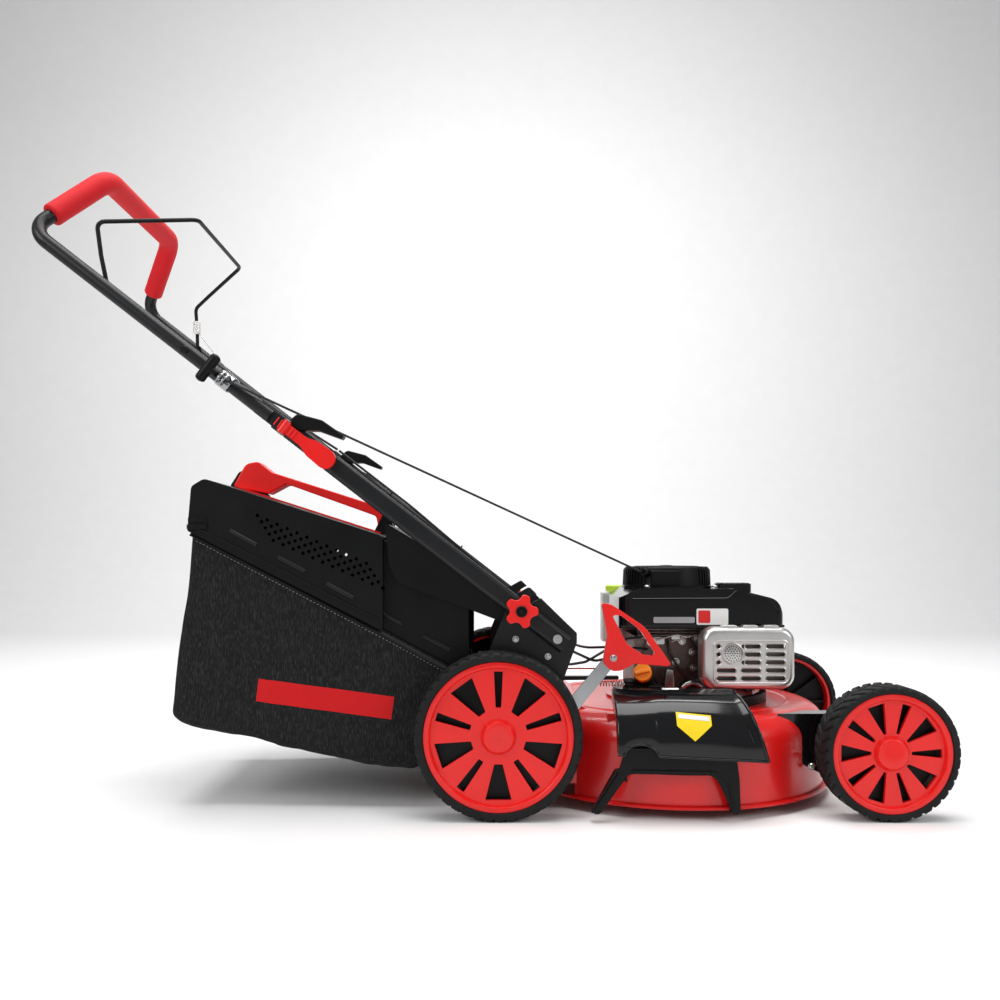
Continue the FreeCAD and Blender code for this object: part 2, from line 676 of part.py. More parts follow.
def fuel_tank():
    """The translucent tank on the far side, with its neck."""
    outline = [(206, 80, 18), (344, 80, 10), (344, 150, 18), (206, 150, 18)]
    outer = slab(outline, 238, 330)
    inner = slab([(209, 83, 15), (341, 83, 7), (341, 147, 15), (209, 147, 15)], 241, 327)
    neck = rod((240, 116, 326), (240, 116, 338), 18)
    mouth = rod((240, 116, 320), (240, 116, 340), 15)
    return free_form("fuel_tank", outer.cut(inner).fuse(neck).cut(mouth))


def fuel_cap():
    """The screw cap on the tank's neck."""
    outline = [(18.3, 332), (26, 332), (26, 344, 3), (0, 344), (0, 340), (18.3, 340)]
    body = lathe("fuel_cap", outline)
    place(body, x="240", y="116")
    return body


def muffler():
    """The pressed silencer box behind the guard, with its outlet."""
    box = prism([(356, 190, 16), (478, 190, 16), (478, 268, 16), (356, 268, 16)], -134, -98)
    outlet = rod((390, -146, 239.5), (390, -130, 239.5), 13)
    inlet = rod((400, -100, 215), (400, -58, 215), 12)
    return free_form("muffler", box.fuse([outlet, inlet]))


def muffler_guard():
    """The bright pressed guard: a rounded tray with rows of slots and a round outlet hole."""
    near = -SIZE.guard_near
    outline = [(341, 180, 24), (493, 180, 24), (493, 282, 24), (341, 282, 24)]
    tray = prism(outline, near, near + SIZE.guard_depth)
    wall = SIZE.guard_wall
    edge = [item for item in tray.Edges if abs(item.CenterOfMass.y - near) < 1e-3]
    tray = tray.makeFillet(10, edge)
    hollow = prism([(341 + wall, 180 + wall, 22), (493 - wall, 180 + wall, 22),
                    (493 - wall, 282 - wall, 22), (341 + wall, 282 - wall, 22)],
                   near + wall, near + SIZE.guard_depth)
    hollow = hollow.makeFillet(8, [item for item in hollow.Edges
                                   if abs(item.CenterOfMass.y - near - wall) < 1e-3])
    slots = [rod((390, near - 5, 239.5), (390, near + 5, 239.5), 15.5)]
    for row in range(5):
        z = 195.5 + row * 13.1
        for column in range(3):
            x = 364 + column * 40.3
            if column == 0 and row > 1:
                slots.append(rod((x + 3, near - 5, z + 3.3), (x + 3, near + 5, z + 3.3), 3.3))
                continue
            slots.append(prism([(x, z, 3), (x + 31, z, 3), (x + 31, z + 6.6, 3), (x, z + 6.6, 3)],
                               near - 2, near + 6))
    return free_form("muffler_guard", tray.cut(hollow).cut(slots))


def air_cleaner():
    """The air cleaner box on the far side, and the carburettor under it."""
    box = slab([(352, 80, 8), (448, 80, 8), (448, 140, 12), (352, 140, 12)], 262, 330)
    box = box.cut(slab([(355, 83, 6), (445, 83, 6), (445, 137, 9), (355, 137, 9)], 265, 327))
    free_form("air_cleaner", box)
    body = box_between((368, 76, 208), (412, 116, 248)).fuse(
        [rod((390, 58, 226), (390, 76, 226), 12), rod((390, 104, 248), (390, 104, 262), 14),
         rod((390, 96, 186), (390, 96, 208), 16)])
    return free_form("carburettor", body)


def fixing_bolts():
    """Bolt heads of the engine and brackets, and the two pivot bolts of the lower handle."""
    bolts = []
    circle = SIZE.engine_base_radius - 11
    for angle in (70, 110, 250, 290):
        x = SIZE.deck_x + circle * math.cos(math.radians(angle))
        y = circle * math.sin(math.radians(angle))
        bolts.append(rod((x, y, SIZE.deck_top + 16), (x, y, SIZE.deck_top + 22), 5))
    pivot_x, pivot_z = on_handle(-SIZE.pivot_drop)
    outside = SIZE.handle_y + SIZE.bar_width / 2 + 0.3
    for side in (-1, 1):
        face = side * (SIZE.bracket_y + 3)
        for x, z in ((34, 270), (84, 243)):
            bolts.append(rod((x, face, z), (x, face + side * 1.6, z), 4))
        stem = rod((pivot_x, side * (SIZE.bracket_y - 1), pivot_z), (pivot_x, side * outside, pivot_z),
                   SIZE.bolt_radius)
        head = rod((pivot_x, side * outside, pivot_z), (pivot_x, side * (outside + 4), pivot_z), 7)
        bolts.append(stem.fuse(head))
        bolts.append(rod((500, side * 201, 68), (500, side * 204, 68), 5))
    return free_form("fixing_bolts", Part.makeCompound(bolts))


def rotating_group():
    """Everything on the crankshaft's axis: shaft, flywheel, blade carrier, blade and bolt."""
    shaft_outline = [(0, 44), (12.5, 44), (12.5, 196), (42, 196), (42, 208), (14, 208), (14, 222),
                     (42, 222), (42, 234), (12.5, 234), (12.5, 300), (10, 300), (10, 336), (0, 336)]
    shaft = lathe("crankshaft", shaft_outline)
    place(shaft, x="deck_x")
    wheel = lathe("flywheel", [(12.6, 288), (62, 288), (62, 302), (56, 304), (56, 326), (54, 326),
                               (54, 304), (20, 304), (20, 298), (12.6, 298)])
    place(wheel, x="deck_x")
    carrier = lathe("blade_carrier", [(12.6, 40.1), (30, 40.1), (30, 50), (20, 54), (20, 78), (12.6, 78)])
    place(carrier, x="deck_x")
    half = SIZE.blade_length / 2
    bar = slab([(-half, -28, 3), (half, -28, 3), (half, 28, 3), (-half, 28, 3)], 36, 40)
    wings = []
    for sign in (-1, 1):
        wing = box_between((150, 16, 36), (half - 2, 19, 52))
        wings.append(wing if sign > 0 else wing.rotated(Vector(), UP, 180))
    blade = bar.fuse(wings).cut(rod((0, 0, 20), (0, 0, 60), 5.2))
    blade.translate(Vector(SIZE.deck_x, 0, 0))
    free_form("blade", blade)
    bolt = lathe("blade_bolt", [(0, 27), (10, 27), (10, 34), (16, 34), (16, 36), (5, 36), (5, 44),
                                (0, 44)])
    place(bolt, x="deck_x")


# ---------------------------------------------------------------- handles

def lower_handles():
    """The two flat-oval side bars: a boss at the pivot and at the clamp, a fork at the top."""
    half = SIZE.bar_width / 2
    deep = SIZE.bar_depth / 2
    foot = on_handle(-SIZE.pivot_drop - 16)
    length = SIZE.pivot_drop + 16 + FOLD + 19
    pivot = on_handle(-SIZE.pivot_drop)
    for label, side in (("lower_handle_near", -1), ("lower_handle_far", 1)):
        bar = slab([(-deep, -half, 8), (deep, -half, 8), (deep, half, 8), (-deep, half, 8)], 0, length)
        bar.Placement = Placement(Vector(foot[0], side * SIZE.handle_y, foot[1]), LEAN)
        low = on_handle(FOLD - 60)
        gap = box_between((-40, -6.2, 0), (40, 6.2, 200))
        gap.Placement = Placement(Vector(low[0], side * SIZE.handle_y, low[1]), LEAN)
        bosses = []
        holes = [gap]
        inner = SIZE.bracket_y + SIZE.bracket_wall + 0.3
        for x, z in (pivot, (SIZE.knob_x, SIZE.knob_z)):
            bosses.append(rod((x, side * inner, z), (x, side * SIZE.handle_y, z), 12))
        for x, z in (pivot, (SIZE.knob_x, SIZE.knob_z), (SIZE.fold_x, FOLD_Z)):
            holes.append(rod((x, side * 200, z), (x, side * 300, z), SIZE.bolt_bore))
        free_form(label, bar.fuse(bosses).cut(holes))


def upper_handle():
    """The bent tube of the upper handle, with a flat tongue at each end and the bail's collars."""
    y = SIZE.handle_y
    low = on_handle(FOLD + 30)
    corner = on_handle((SIZE.knob_x - SIZE.grip_corner_x) / math.cos(SLOPE))
    points = [(low[0], -y, low[1]), (corner[0], -y, corner[1]), (-631, -148, 1013.5),
              (-631, 148, 1013.5), (corner[0], y, corner[1]), (low[0], y, low[1])]
    tube = bent_tube(points, [32, 46, 46, 32], SIZE.tube_radius, SIZE.tube_radius - 1.6)
    foot = on_handle(FOLD - 20)
    x, z = SIZE.bail_x, SIZE.bail_z
    added = []
    holes = []
    for side in (-1, 1):
        tongue = slab([(-11, -5), (11, -5), (11, 5), (-11, 5)], 0, 74)
        tongue.Placement = Placement(Vector(foot[0], side * y, foot[1]), LEAN)
        added.append(tongue)
        added.append(rod((x, side * 224, z), (x, side * 231, z), 6))
        holes.append(rod((x, side * 220, z), (x, side * 236, z), SIZE.bail_radius + 0.06))
        holes.append(rod((SIZE.fold_x, side * 200, FOLD_Z), (SIZE.fold_x, side * 300, FOLD_Z),
                         SIZE.bolt_bore))
    return free_form("upper_handle", tube.fuse(added).cut(holes))


def foam_grip():
    """The foam sleeve round the crossbar and its corners."""
    low = on_handle((SIZE.knob_x - SIZE.grip_corner_x) / math.cos(SLOPE))
    start = Vector(low[0], -SIZE.handle_y, low[1])
    corner = Vector(-631, -148, 1013.5)
    first = start + (corner - start) * 0.26
    points = [tuple(first), tuple(corner), (-631, 148, 1013.5), (first.x, -first.y, first.z)]
    return free_form("foam_grip", bent_tube(points, [46, 46], SIZE.foam_radius, SIZE.tube_radius + 0.05))


def bail():
    """The wire bail that stops the engine when it is let go."""
    x, z = SIZE.bail_x, SIZE.bail_z
    side = 220.5
    points = [(x, -235, z), (x, -side, z), (-618, -side, 919), (-490, -127, 956),
              (-490, 127, 956), (-618, side, 919), (x, side, z), (x, 235, z)]
    return free_form("bail", bent_tube(points, [3.3, 14, 22, 22, 14, 3.3], SIZE.bail_radius))


def knobs():
    """Five-lobed clamp knobs with their bolts, at the feet of the lower handle."""
    for label, side in (("clamp_knob_near", -1), ("clamp_knob_far", 1)):
        body = new_body(label)
        sketch = new_sketch(body, "XY_Plane")
        star = []
        for lobe in range(5):
            bearing = math.radians(72 * lobe)
            for turn, reach, radius in ((-12, 26, 5), (12, 26, 5), (36, 15.5, 9)):
                angle = bearing + math.radians(turn)
                star.append((reach * math.cos(angle), reach * math.sin(angle), radius))
        draw_outline(sketch, star)
        pad(body, sketch, "16")
        stem = new_sketch(body, "XY_Plane")
        draw_circle(stem, "bolt_radius")
        pad(body, stem, "29.2", reverse=True)
        washer = new_sketch(body, "XY_Plane")
        draw_circle(washer, "11")
        pad(body, washer, "1.7", reverse=True)
        place(body, x="knob_x", y="%d * (handle_y + 11)" % side, z="knob_z", axis=Vector(1, 0, 0),
              angle=90 * -side)


def cam_levers():
    """Spoon-shaped quick clamps: each flips out on the cross pin of its fold bolt."""
    bolts = []
    for label, side in (("cam_lever_near", -1), ("cam_lever_far", 1)):
        face = SIZE.handle_y + SIZE.bar_width / 2 + 0.3
        turn = Rotation(Vector(math.cos(SLOPE), 0, -math.sin(SLOPE)), Vector(), Vector(0, side, 0), "ZXY")
        seat = Placement(Vector(SIZE.fold_x, side * face, FOLD_Z), turn)
        blade = slab([(0, -8), (40, -8, 40), (52, -14, 14), (94, -16, 15), (94, 16, 15), (52, 14, 14),
                      (40, 8, 40), (0, 8)], 3.4, 10.4)
        barrel = rod((0, -10.6, 8.2), (0, 10.6, 8.2), 6.6)
        lever = blade.fuse(barrel).cut(rod((0, -20, 8.2), (0, 20, 8.2), 2.06))
        lever.Placement = seat
        free_form(label, lever)
        shank = rod((0, 0, -21), (0, 0, 1.2), SIZE.bolt_radius)
        head = rod((0, 0, -23), (0, 0, -19), 7)
        pieces = [head, box_between((-6, -13, 0), (6, 13, 1.2)), rod((0, -13, 8.2), (0, 13, 8.2), 2)]
        pieces += [box_between((-4, y, 0), (4, y + 2.2, 11)) for y in (-13, 10.8)]
        bolt = shank.fuse(pieces)
        bolt.Placement = seat
        bolts.append(bolt)
    return free_form("fold_bolts", Part.makeCompound(bolts))


def starter_grip():
    """The starter's T grip, on its rope beside the near tube, and the wire guide it rests on."""
    x, z = on_handle(600)
    outer = -SIZE.handle_y - 24
    along = Vector(-math.cos(SLOPE), 0, math.sin(SLOPE))
    cross = Vector(math.sin(SLOPE), 0, math.cos(SLOPE))
    middle = Vector(x, outer, z)
    bar = rod(tuple(middle - cross * 24), tuple(middle + cross * 24), 8)
    stem = rod(tuple(middle - along * 18), tuple(middle), 6)
    free_form("starter_grip", bar.fuse(stem))
    ring = Part.makeTorus(9, 2, middle - along * 26, along)

    def spot(down, inward):
        return tuple(middle - along * down + ACROSS * inward)
    leg = rod(spot(26, 9), spot(26, 12.5), 2)
    clamp = rod(spot(34, 24), spot(18, 24), 13)
    bore = rod(spot(40, 24), spot(10, 24), SIZE.tube_radius + 0.02)
    return free_form("rope_guide", ring.fuse([leg, clamp.cut(bore)]))


# ---------------------------------------------------------------- rope and cable

def rope_points():
    """Ends of the starter rope: engine eye, beside the fold, and the guide ring."""
    x, z = on_handle(574)
    guide = Vector(x, -SIZE.handle_y - 24, z)
    engine = Vector(254, -56, 372)
    share = (SIZE.fold_x - engine.x) / (guide.x - engine.x)
    return engine, engine + (guide - engine) * share, guide


def starter_rope():
    """The starter rope, in two straight spans that meet beside the fold."""
    engine, fold, guide = rope_points()
    free_form("starter_rope_lower", rod(tuple(engine), tuple(fold), 1.8))
    free_form("starter_rope_upper", rod(tuple(fold), tuple(guide), 1.8))


def control_cable():
    """The brake cable along the far tube, in two spans that meet beside the fold."""
    inside = SIZE.handle_y - 17
    start = on_handle(700)
    upper = [(start[0], inside, start[1] + 2), (-430, inside, 688), (SIZE.fold_x, inside, FOLD_Z + 22)]
    free_form("control_cable_upper", bent_tube(upper, [600], 2.5))
    lower = [(upper[-1][0] + 3.2, inside, upper[-1][2] - 2.3), (-170, inside, 502),
             (-10, inside - 2, 366), (86, inside - 12, 262), (170, 176, 218), (226, 130, 224),
             (262, 84, 216)]
    free_form("control_cable_lower", bent_tube(lower, [500, 400, 120, 90, 60], 2.5))


# ---------------------------------------------------------------- rear door and bag

def rear_door():
    """The moulded rear door: a lid with side cheeks, hinged on a pin between the brackets."""
    outline = [(-172, 452, 4), (-164, 384, 14), (-150, 357, 16), (11, 296, 6), (36, 296, 6),
               (36, 318, 12), (-4, 352, 60)]
    half = SIZE.door_half
    outer = prism(outline, -half, half)
    hollow = prism([(-200, 462), (-174, 446), (-6, 346), (30, 314), (30, 200), (-200, 200)],
                   -half + 3, half - 3)
    x, z = SIZE.door_x, SIZE.door_z
    reach = SIZE.bracket_y - 3
    hinge = rod((x, -reach, z), (x, reach, z), 8)
    reach = SIZE.bracket_y + 3
    pin = rod((x, -reach, z), (x, reach, z), SIZE.bolt_radius)
    return free_form("rear_door", outer.cut(hollow).fuse([hinge, pin]))


def bag_top():
    """The bag's hard lid: vented sides, closed top, narrow front under the door."""
    profile = [(-480, 438, 4), (-474, 508, 10), (-454, 520, 12), (-174, 430, 10), (-174, 281, 4)]
    half = SIZE.bag_half
    wall = SIZE.bag_wall
    wide = prism(profile, -half, half)
    front = [(-180, 425), (-174, 424), (-40, 338), (-40, 210), (-180, 284)]
    narrow = prism(front, -196, 196)
    outer = wide.fuse(narrow)
    inner_profile = [(-476, 440), (-471, 506), (-455, 516), (-180, 427), (-176, 424), (-176, 250),
                     (-476, 250)]
    hollow = prism(inner_profile, -half + wall, half - wall)
    mouth = prism([(-190, 420), (-174, 420), (-43, 334), (-30, 334), (-30, 200), (-190, 200)], -192, 192)
    holes = []
    reach = SIZE.vent_hole
    for column in range(12):
        for line in range(5):
            x = SIZE.vent_x + column * 15.5 + line * 6.2
            z = SIZE.vent_z - column * 6.8 - line * 9.7
            diamond = [(x - reach, z), (x, z + reach), (x + reach, z), (x, z - reach)]
            holes.append(prism(diamond, -half - 5, half + 5))
    return free_form("bag_top", outer.cut([hollow, mouth]).cut(holes))


def bag_fabric():
    """The mesh bag: a closed soft shell with its mouth at the front."""
    profile = [(-477, 435, 4), (-508, 148, 12), (-498, 136, 10), (-128, 58, 20), (-60, 96, 16),
               (-44, 207), (-174, 277)]
    half = SIZE.fabric_half
    outer = prism(profile, -half, half)
    inner = prism([(-473, 470), (-503, 150), (-496, 142), (-128, 64), (-64, 103), (-30, 103),
                   (-30, 470)], -half + 4, half - 4)
    return free_form("bag_fabric", outer.cut(inner))


def bag_handle():
    """The carry handle on the bag's lid: a hump, a grip bar and a front foot."""
    outline = [(-462, 523), (-440, 564, 16), (-418, 568, 12), (-392, 546, 8), (-196, 484, 8),
               (-180, 452, 6), (-180, 432.5), (-204, 440), (-210, 462, 6), (-384, 518, 8),
               (-402, 504)]
    return free_form("bag_handle", prism(outline, -20, 20))


# ---------------------------------------------------------------- build, check and write

def check_and_export():
    DOC.recompute()
    for item in DOC.Objects:
        for flag in ("Invalid", "Error"):
            if flag in item.State:
                raise RuntimeError("%s (%s) is %s" % (item.Label, item.Name, flag))
    os.makedirs("parts", exist_ok=True)
    for item in PARTS:
        shape = item.Shape
        if shape.isNull() or not shape.isValid():
            raise RuntimeError(item.Label + " has no valid shape")
    for item in PARTS:
        item.Shape.exportStep("parts/%s.step" % item.Label)
    low = Vector(*[min(getattr(item.Shape.BoundBox, key) for item in PARTS)
                   for key in ("XMin", "YMin", "ZMin")])
    high = Vector(*[max(getattr(item.Shape.BoundBox, key) for item in PARTS)
                    for key in ("XMax", "YMax", "ZMax")])
    print(len(PARTS), "sub-parts, box", low, high)


def build():
    wheels()
    cranked_axle("rear_axle", "rear_axle_x", "rear_radius", 1, [height_lever()])
    cranked_axle("front_axle", "front_axle_x", "front_radius", -1)
    height_link()
    height_lever_grip()
    deck_shell()
    rear_brackets()
    front_brackets()
    side_chute()
    side_flap()
    flap_spring()
    crankcase()
    cylinder_block()
    piston()
    spark_plug()
    blower_housing()
    recoil_cover()
    recoil_pulley()
    fuel_tank()
    fuel_cap()
    muffler()
    muffler_guard()
    air_cleaner()
    oil_cap()
    fixing_bolts()
    rotating_group()
    lower_handles()
    upper_handle()
    foam_grip()
    bail()
    knobs()
    cam_levers()
    starter_grip()
    starter_rope()
    control_cable()
    rear_door()
    bag_top()
    bag_fabric()
    bag_handle()
    check_and_export()


build()
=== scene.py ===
import json
import math

import bmesh
import bpy
from mathutils import Matrix, Vector, noise


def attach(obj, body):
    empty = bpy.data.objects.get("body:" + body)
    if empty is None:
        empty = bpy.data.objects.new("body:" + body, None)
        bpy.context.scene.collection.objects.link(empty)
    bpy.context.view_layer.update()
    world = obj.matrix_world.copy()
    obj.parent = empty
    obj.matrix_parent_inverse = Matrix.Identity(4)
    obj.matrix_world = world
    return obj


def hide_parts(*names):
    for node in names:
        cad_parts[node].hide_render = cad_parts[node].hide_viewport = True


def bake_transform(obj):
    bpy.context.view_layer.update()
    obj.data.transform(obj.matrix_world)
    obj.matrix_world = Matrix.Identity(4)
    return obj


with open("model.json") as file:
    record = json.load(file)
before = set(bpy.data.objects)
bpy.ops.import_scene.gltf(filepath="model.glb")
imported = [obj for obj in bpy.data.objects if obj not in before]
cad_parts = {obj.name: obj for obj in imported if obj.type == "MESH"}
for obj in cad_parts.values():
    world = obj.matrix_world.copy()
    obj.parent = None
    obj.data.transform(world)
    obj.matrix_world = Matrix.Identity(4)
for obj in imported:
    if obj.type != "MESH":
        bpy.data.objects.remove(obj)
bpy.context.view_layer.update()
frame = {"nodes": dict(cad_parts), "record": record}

# Lengths below are in millimetres in the CAD's frame: +X the front, -Y the photographed side, +Z up.
MM = 0.001
SLOPE = math.radians(37.85)
NODES = frame["nodes"]
BODY_OF = {node: body for body, nodes in frame["record"]["behaviour"]["bodies"].items() for node in nodes}
SIDES = ((-1, "near"), (1, "far"))
ROUGH_VARY = 0.06
UP = Vector((0, 0, 1))
NEAR = Vector((0, -1, 0))
SLOT_OF = {item["node"]: item["material_slot"] for item in frame["record"]["subparts"]}


# ---- materials

def tinted(color, share):
    return [min(1.0, channel * share) for channel in color[:3]] + [1.0]


def node(nodes, kind, **inputs):
    """A shader node with some of its sockets set."""
    made = nodes.new(kind)
    for socket, amount in inputs.items():
        made.inputs[socket.replace("_", " ")].default_value = amount
    return made


def surface(name, color, rough, vary=0.1, grain=0.0, grain_size=0.4, **sockets):
    """A procedural finish: cloudy colour, uneven roughness and a fine grain, in object space."""
    material = bpy.data.materials.new(name)
    material.use_nodes = True
    nodes = material.node_tree.nodes
    links = material.node_tree.links
    shader = nodes["Principled BSDF"]
    place = nodes.new("ShaderNodeTexCoord")
    clouds = node(nodes, "ShaderNodeTexNoise", Scale=14, Detail=6)
    links.new(place.outputs["Object"], clouds.inputs["Vector"])
    ramp = nodes.new("ShaderNodeValToRGB")
    for stop, position, share in zip(ramp.color_ramp.elements, (0.3, 0.7), (1 - vary, 1 + vary)):
        stop.position = position
        stop.color = tinted(color, share)
    links.new(clouds.outputs["Fac"], ramp.inputs["Fac"])
    links.new(ramp.outputs["Color"], shader.inputs["Base Color"])
    gloss = node(nodes, "ShaderNodeMapRange", To_Min=max(0.02, rough - ROUGH_VARY),
                 To_Max=min(1.0, rough + ROUGH_VARY))
    links.new(clouds.outputs["Fac"], gloss.inputs["Value"])
    links.new(gloss.outputs["Result"], shader.inputs["Roughness"])
    if grain:
        fine = node(nodes, "ShaderNodeTexNoise", Scale=1 / (grain_size * MM), Detail=3)
        links.new(place.outputs["Object"], fine.inputs["Vector"])
        bump = node(nodes, "ShaderNodeBump", Strength=grain, Distance=grain_size * MM)
        links.new(fine.outputs["Fac"], bump.inputs["Height"])
        links.new(bump.outputs["Normal"], shader.inputs["Normal"])
    for socket, amount in sockets.items():
        shader.inputs[socket.replace("_", " ")].default_value = amount
    return material


def maths(nodes, links, operation, *fed):
    """A maths node's output, its inputs fed by sockets or by plain numbers."""
    made = nodes.new("ShaderNodeMath")
    made.operation = operation
    for socket, value in zip(made.inputs, fed):
        if isinstance(value, float):
            socket.default_value = value
        else:
            links.new(value, socket)
    return made.outputs["Value"]


def mixed(material, mask, color):
    """Lay a second colour over a finish where a mask socket is 1."""
    nodes = material.node_tree.nodes
    links = material.node_tree.links
    shader = nodes["Principled BSDF"]
    mix = nodes.new("ShaderNodeMix")
    mix.data_type = "RGBA"
    mix.inputs["B"].default_value = color
    links.new(mask, mix.inputs["Factor"])
    links.new(shader.inputs["Base Color"].links[0].from_socket, mix.inputs["A"])
    links.new(mix.outputs["Result"], shader.inputs["Base Color"])


def bag_mesh_fabric():
    """Woven dust-bag mesh: a fine grid weave, pale upright threads, and a plain printed red band."""
    material = surface("bag_mesh_weave", (0.003, 0.003, 0.0036), 0.65, vary=0.3,
                       Specular_IOR_Level=0.2)
    nodes = material.node_tree.nodes
    links = material.node_tree.links
    place = nodes.new("ShaderNodeTexCoord")
    for size, start, color in (((900, 900, 110), 0.5, (0.03, 0.03, 0.032, 1)),
                               ((420, 420, 40), 0.56, (0.018, 0.018, 0.019, 1))):
        threads = node(nodes, "ShaderNodeMapping", Scale=size)
        links.new(place.outputs["Object"], threads.inputs["Vector"])
        streaks = node(nodes, "ShaderNodeTexNoise", Scale=1.0, Detail=2.0)
        links.new(threads.outputs["Vector"], streaks.inputs["Vector"])
        pick = node(nodes, "ShaderNodeMapRange", From_Min=start, From_Max=start + 0.2)
        links.new(streaks.outputs["Fac"], pick.inputs["Value"])
        mixed(material, pick.outputs["Result"], color)
    mixed(material, printed_band(nodes, links, place), (0.6, 0.008, 0.01, 1))
    heights = []
    for direction in ("X", "Z"):
        wave = node(nodes, "ShaderNodeTexWave", Scale=190, Distortion=0.6)
        wave.bands_direction = direction
        links.new(place.outputs["Object"], wave.inputs["Vector"])
        heights.append(wave.outputs["Fac"])
    bump = node(nodes, "ShaderNodeBump", Strength=0.6, Distance=0.0006)
    links.new(maths(nodes, links, "MAXIMUM", *heights), bump.inputs["Height"])
    links.new(bump.outputs["Normal"], nodes["Principled BSDF"].inputs["Normal"])
    return material


def printed_band(nodes, links, place):
    """A mask that is 1 inside a slanting plain band on the bag's two sides."""
    turned_to = node(nodes, "ShaderNodeMapping", Location=(0.2864, 0, -0.1373),
                     Rotation=(0, math.radians(-7.5), 0))
    turned_to.vector_type = "POINT"
    links.new(place.outputs["Object"], turned_to.inputs["Vector"])
    split = nodes.new("ShaderNodeSeparateXYZ")
    links.new(turned_to.outputs["Vector"], split.inputs["Vector"])
    within = []
    for axis, half in (("X", 0.108), ("Z", 0.018)):
        size = maths(nodes, links, "ABSOLUTE", split.outputs[axis])
        within.append(maths(nodes, links, "LESS_THAN", size, half))
    return maths(nodes, links, "MULTIPLY", *within)


FINISH = {
    "deck_red": surface("deck_red_paint", (0.64, 0.006, 0.006), 0.3, vary=0.07, grain=0.05, grain_size=1.6,
                        Specular_IOR_Level=0.35, Coat_Weight=0.35, Coat_Roughness=0.1),
    "black_steel": surface("black_powder_coat", (0.0085, 0.009, 0.01), 0.36, vary=0.2, grain=0.12,
                           grain_size=0.5, Specular_IOR_Level=0.25, Coat_Weight=0.08, Coat_Roughness=0.2),
    "black_plastic": surface("black_moulding", (0.0045, 0.0047, 0.0053), 0.4, vary=0.2, grain=0.14,
                             grain_size=0.6, Specular_IOR_Level=0.16),
    "gloss_black": surface("gloss_black_moulding", (0.0035, 0.0037, 0.0045), 0.13, vary=0.2, grain=0.03,
                           grain_size=2.0, Specular_IOR_Level=0.25, Coat_Weight=0.3, Coat_Roughness=0.06),
    "red_plastic": surface("red_moulding", (0.74, 0.008, 0.006), 0.3, vary=0.05, grain=0.05,
                           grain_size=0.7, Specular_IOR_Level=0.4, Coat_Weight=0.12, Coat_Roughness=0.15),
    "foam_red": surface("red_foam", (0.62, 0.008, 0.014), 0.66, vary=0.06, grain=0.6, grain_size=0.9,
                        Specular_IOR_Level=0.25, Sheen_Weight=0.03, Sheen_Roughness=0.4),
    "tyre_black": surface("tyre_rubber", (0.0085, 0.009, 0.0095), 0.6, vary=0.3, grain=0.3,
                          grain_size=0.6, Specular_IOR_Level=0.2),
    "bright_steel": surface("zinc_steel", (0.55, 0.55, 0.54), 0.24, vary=0.15, grain=0.08,
                            grain_size=0.5, Metallic=1.0),
    "cast_alloy": surface("cast_alloy", (0.2, 0.18, 0.17), 0.42, vary=0.35, grain=0.5, grain_size=1.4,
                          Metallic=0.85),
    "guard_silver": surface("pressed_silver", (0.62, 0.61, 0.6), 0.32, vary=0.06, grain=0.06,
                            grain_size=0.5, Metallic=0.95),
    "tank_white": surface("tank_moulding", (0.6, 0.64, 0.63), 0.35, vary=0.05, grain=0.06,
                          Transmission_Weight=0.12, Subsurface_Weight=0.3),
    "cap_green": surface("lime_cap", (0.5, 0.7, 0.05), 0.4, vary=0.05, grain=0.1),
    "cap_amber": surface("amber_cap", (0.9, 0.24, 0.005), 0.25, vary=0.06, grain=0.05,
                         Subsurface_Weight=0.2, Coat_Weight=0.3),
    "mesh_fabric": bag_mesh_fabric(),
    "rope_black": surface("braided_rope", (0.012, 0.012, 0.013), 0.7, vary=0.5, grain=0.8,
                          grain_size=0.9),
    "cable_black": surface("cable_sheath", (0.006, 0.006, 0.007), 0.35, vary=0.2, grain=0.05),
    "blade_steel": surface("blade_steel", (0.2, 0.2, 0.21), 0.4, vary=0.3, grain=0.3, Metallic=0.9),
}
CHROME = surface("dark_chrome", (0.32, 0.33, 0.34), 0.14, vary=0.1, Metallic=1.0)
BRONZE = surface("oiled_casting", (0.085, 0.055, 0.05), 0.28, vary=0.4, grain=0.3, grain_size=1.2,
                 Metallic=0.7, Coat_Weight=0.3)
PLATE_WHITE = surface("plain_white_plate", (0.75, 0.75, 0.74), 0.35, vary=0.03)
PLATE_YELLOW = surface("plain_yellow_plate", (0.85, 0.62, 0.01), 0.35, vary=0.04)
PLATE_GREY = surface("plain_grey_plate", (0.3, 0.31, 0.32), 0.35, vary=0.08)
PLATE_RED = surface("plain_red_plate", (0.62, 0.01, 0.01), 0.35, vary=0.04)


# ---- mesh helpers

def placed(name, data):
    """A new object in the scene."""
    item = bpy.data.objects.new(name, data)
    bpy.context.scene.collection.objects.link(item)
    return item


def show(name, mesh, body, slot, angle=35, finish=None):
    """Put a mesh in the scene: smooth except at sharp edges, with its finish, riding on a body."""
    mesh.validate()
    mesh.shade_smooth()
    mesh.set_sharp_from_angle(angle=math.radians(angle))
    mesh.materials.clear()
    mesh.materials.append(finish or FINISH[slot])
    piece = placed(name, mesh)
    if body:
        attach(piece, body)
    return piece


def from_lists(name, points, faces):
    mesh = bpy.data.meshes.new(name)
    mesh.from_pydata([[value * MM for value in point] for point in points], [], faces)
    mesh.update()
    build = bmesh.new()
    build.from_mesh(mesh)
    bmesh.ops.recalc_face_normals(build, faces=build.faces)
    build.to_mesh(mesh)
    build.free()
    return mesh


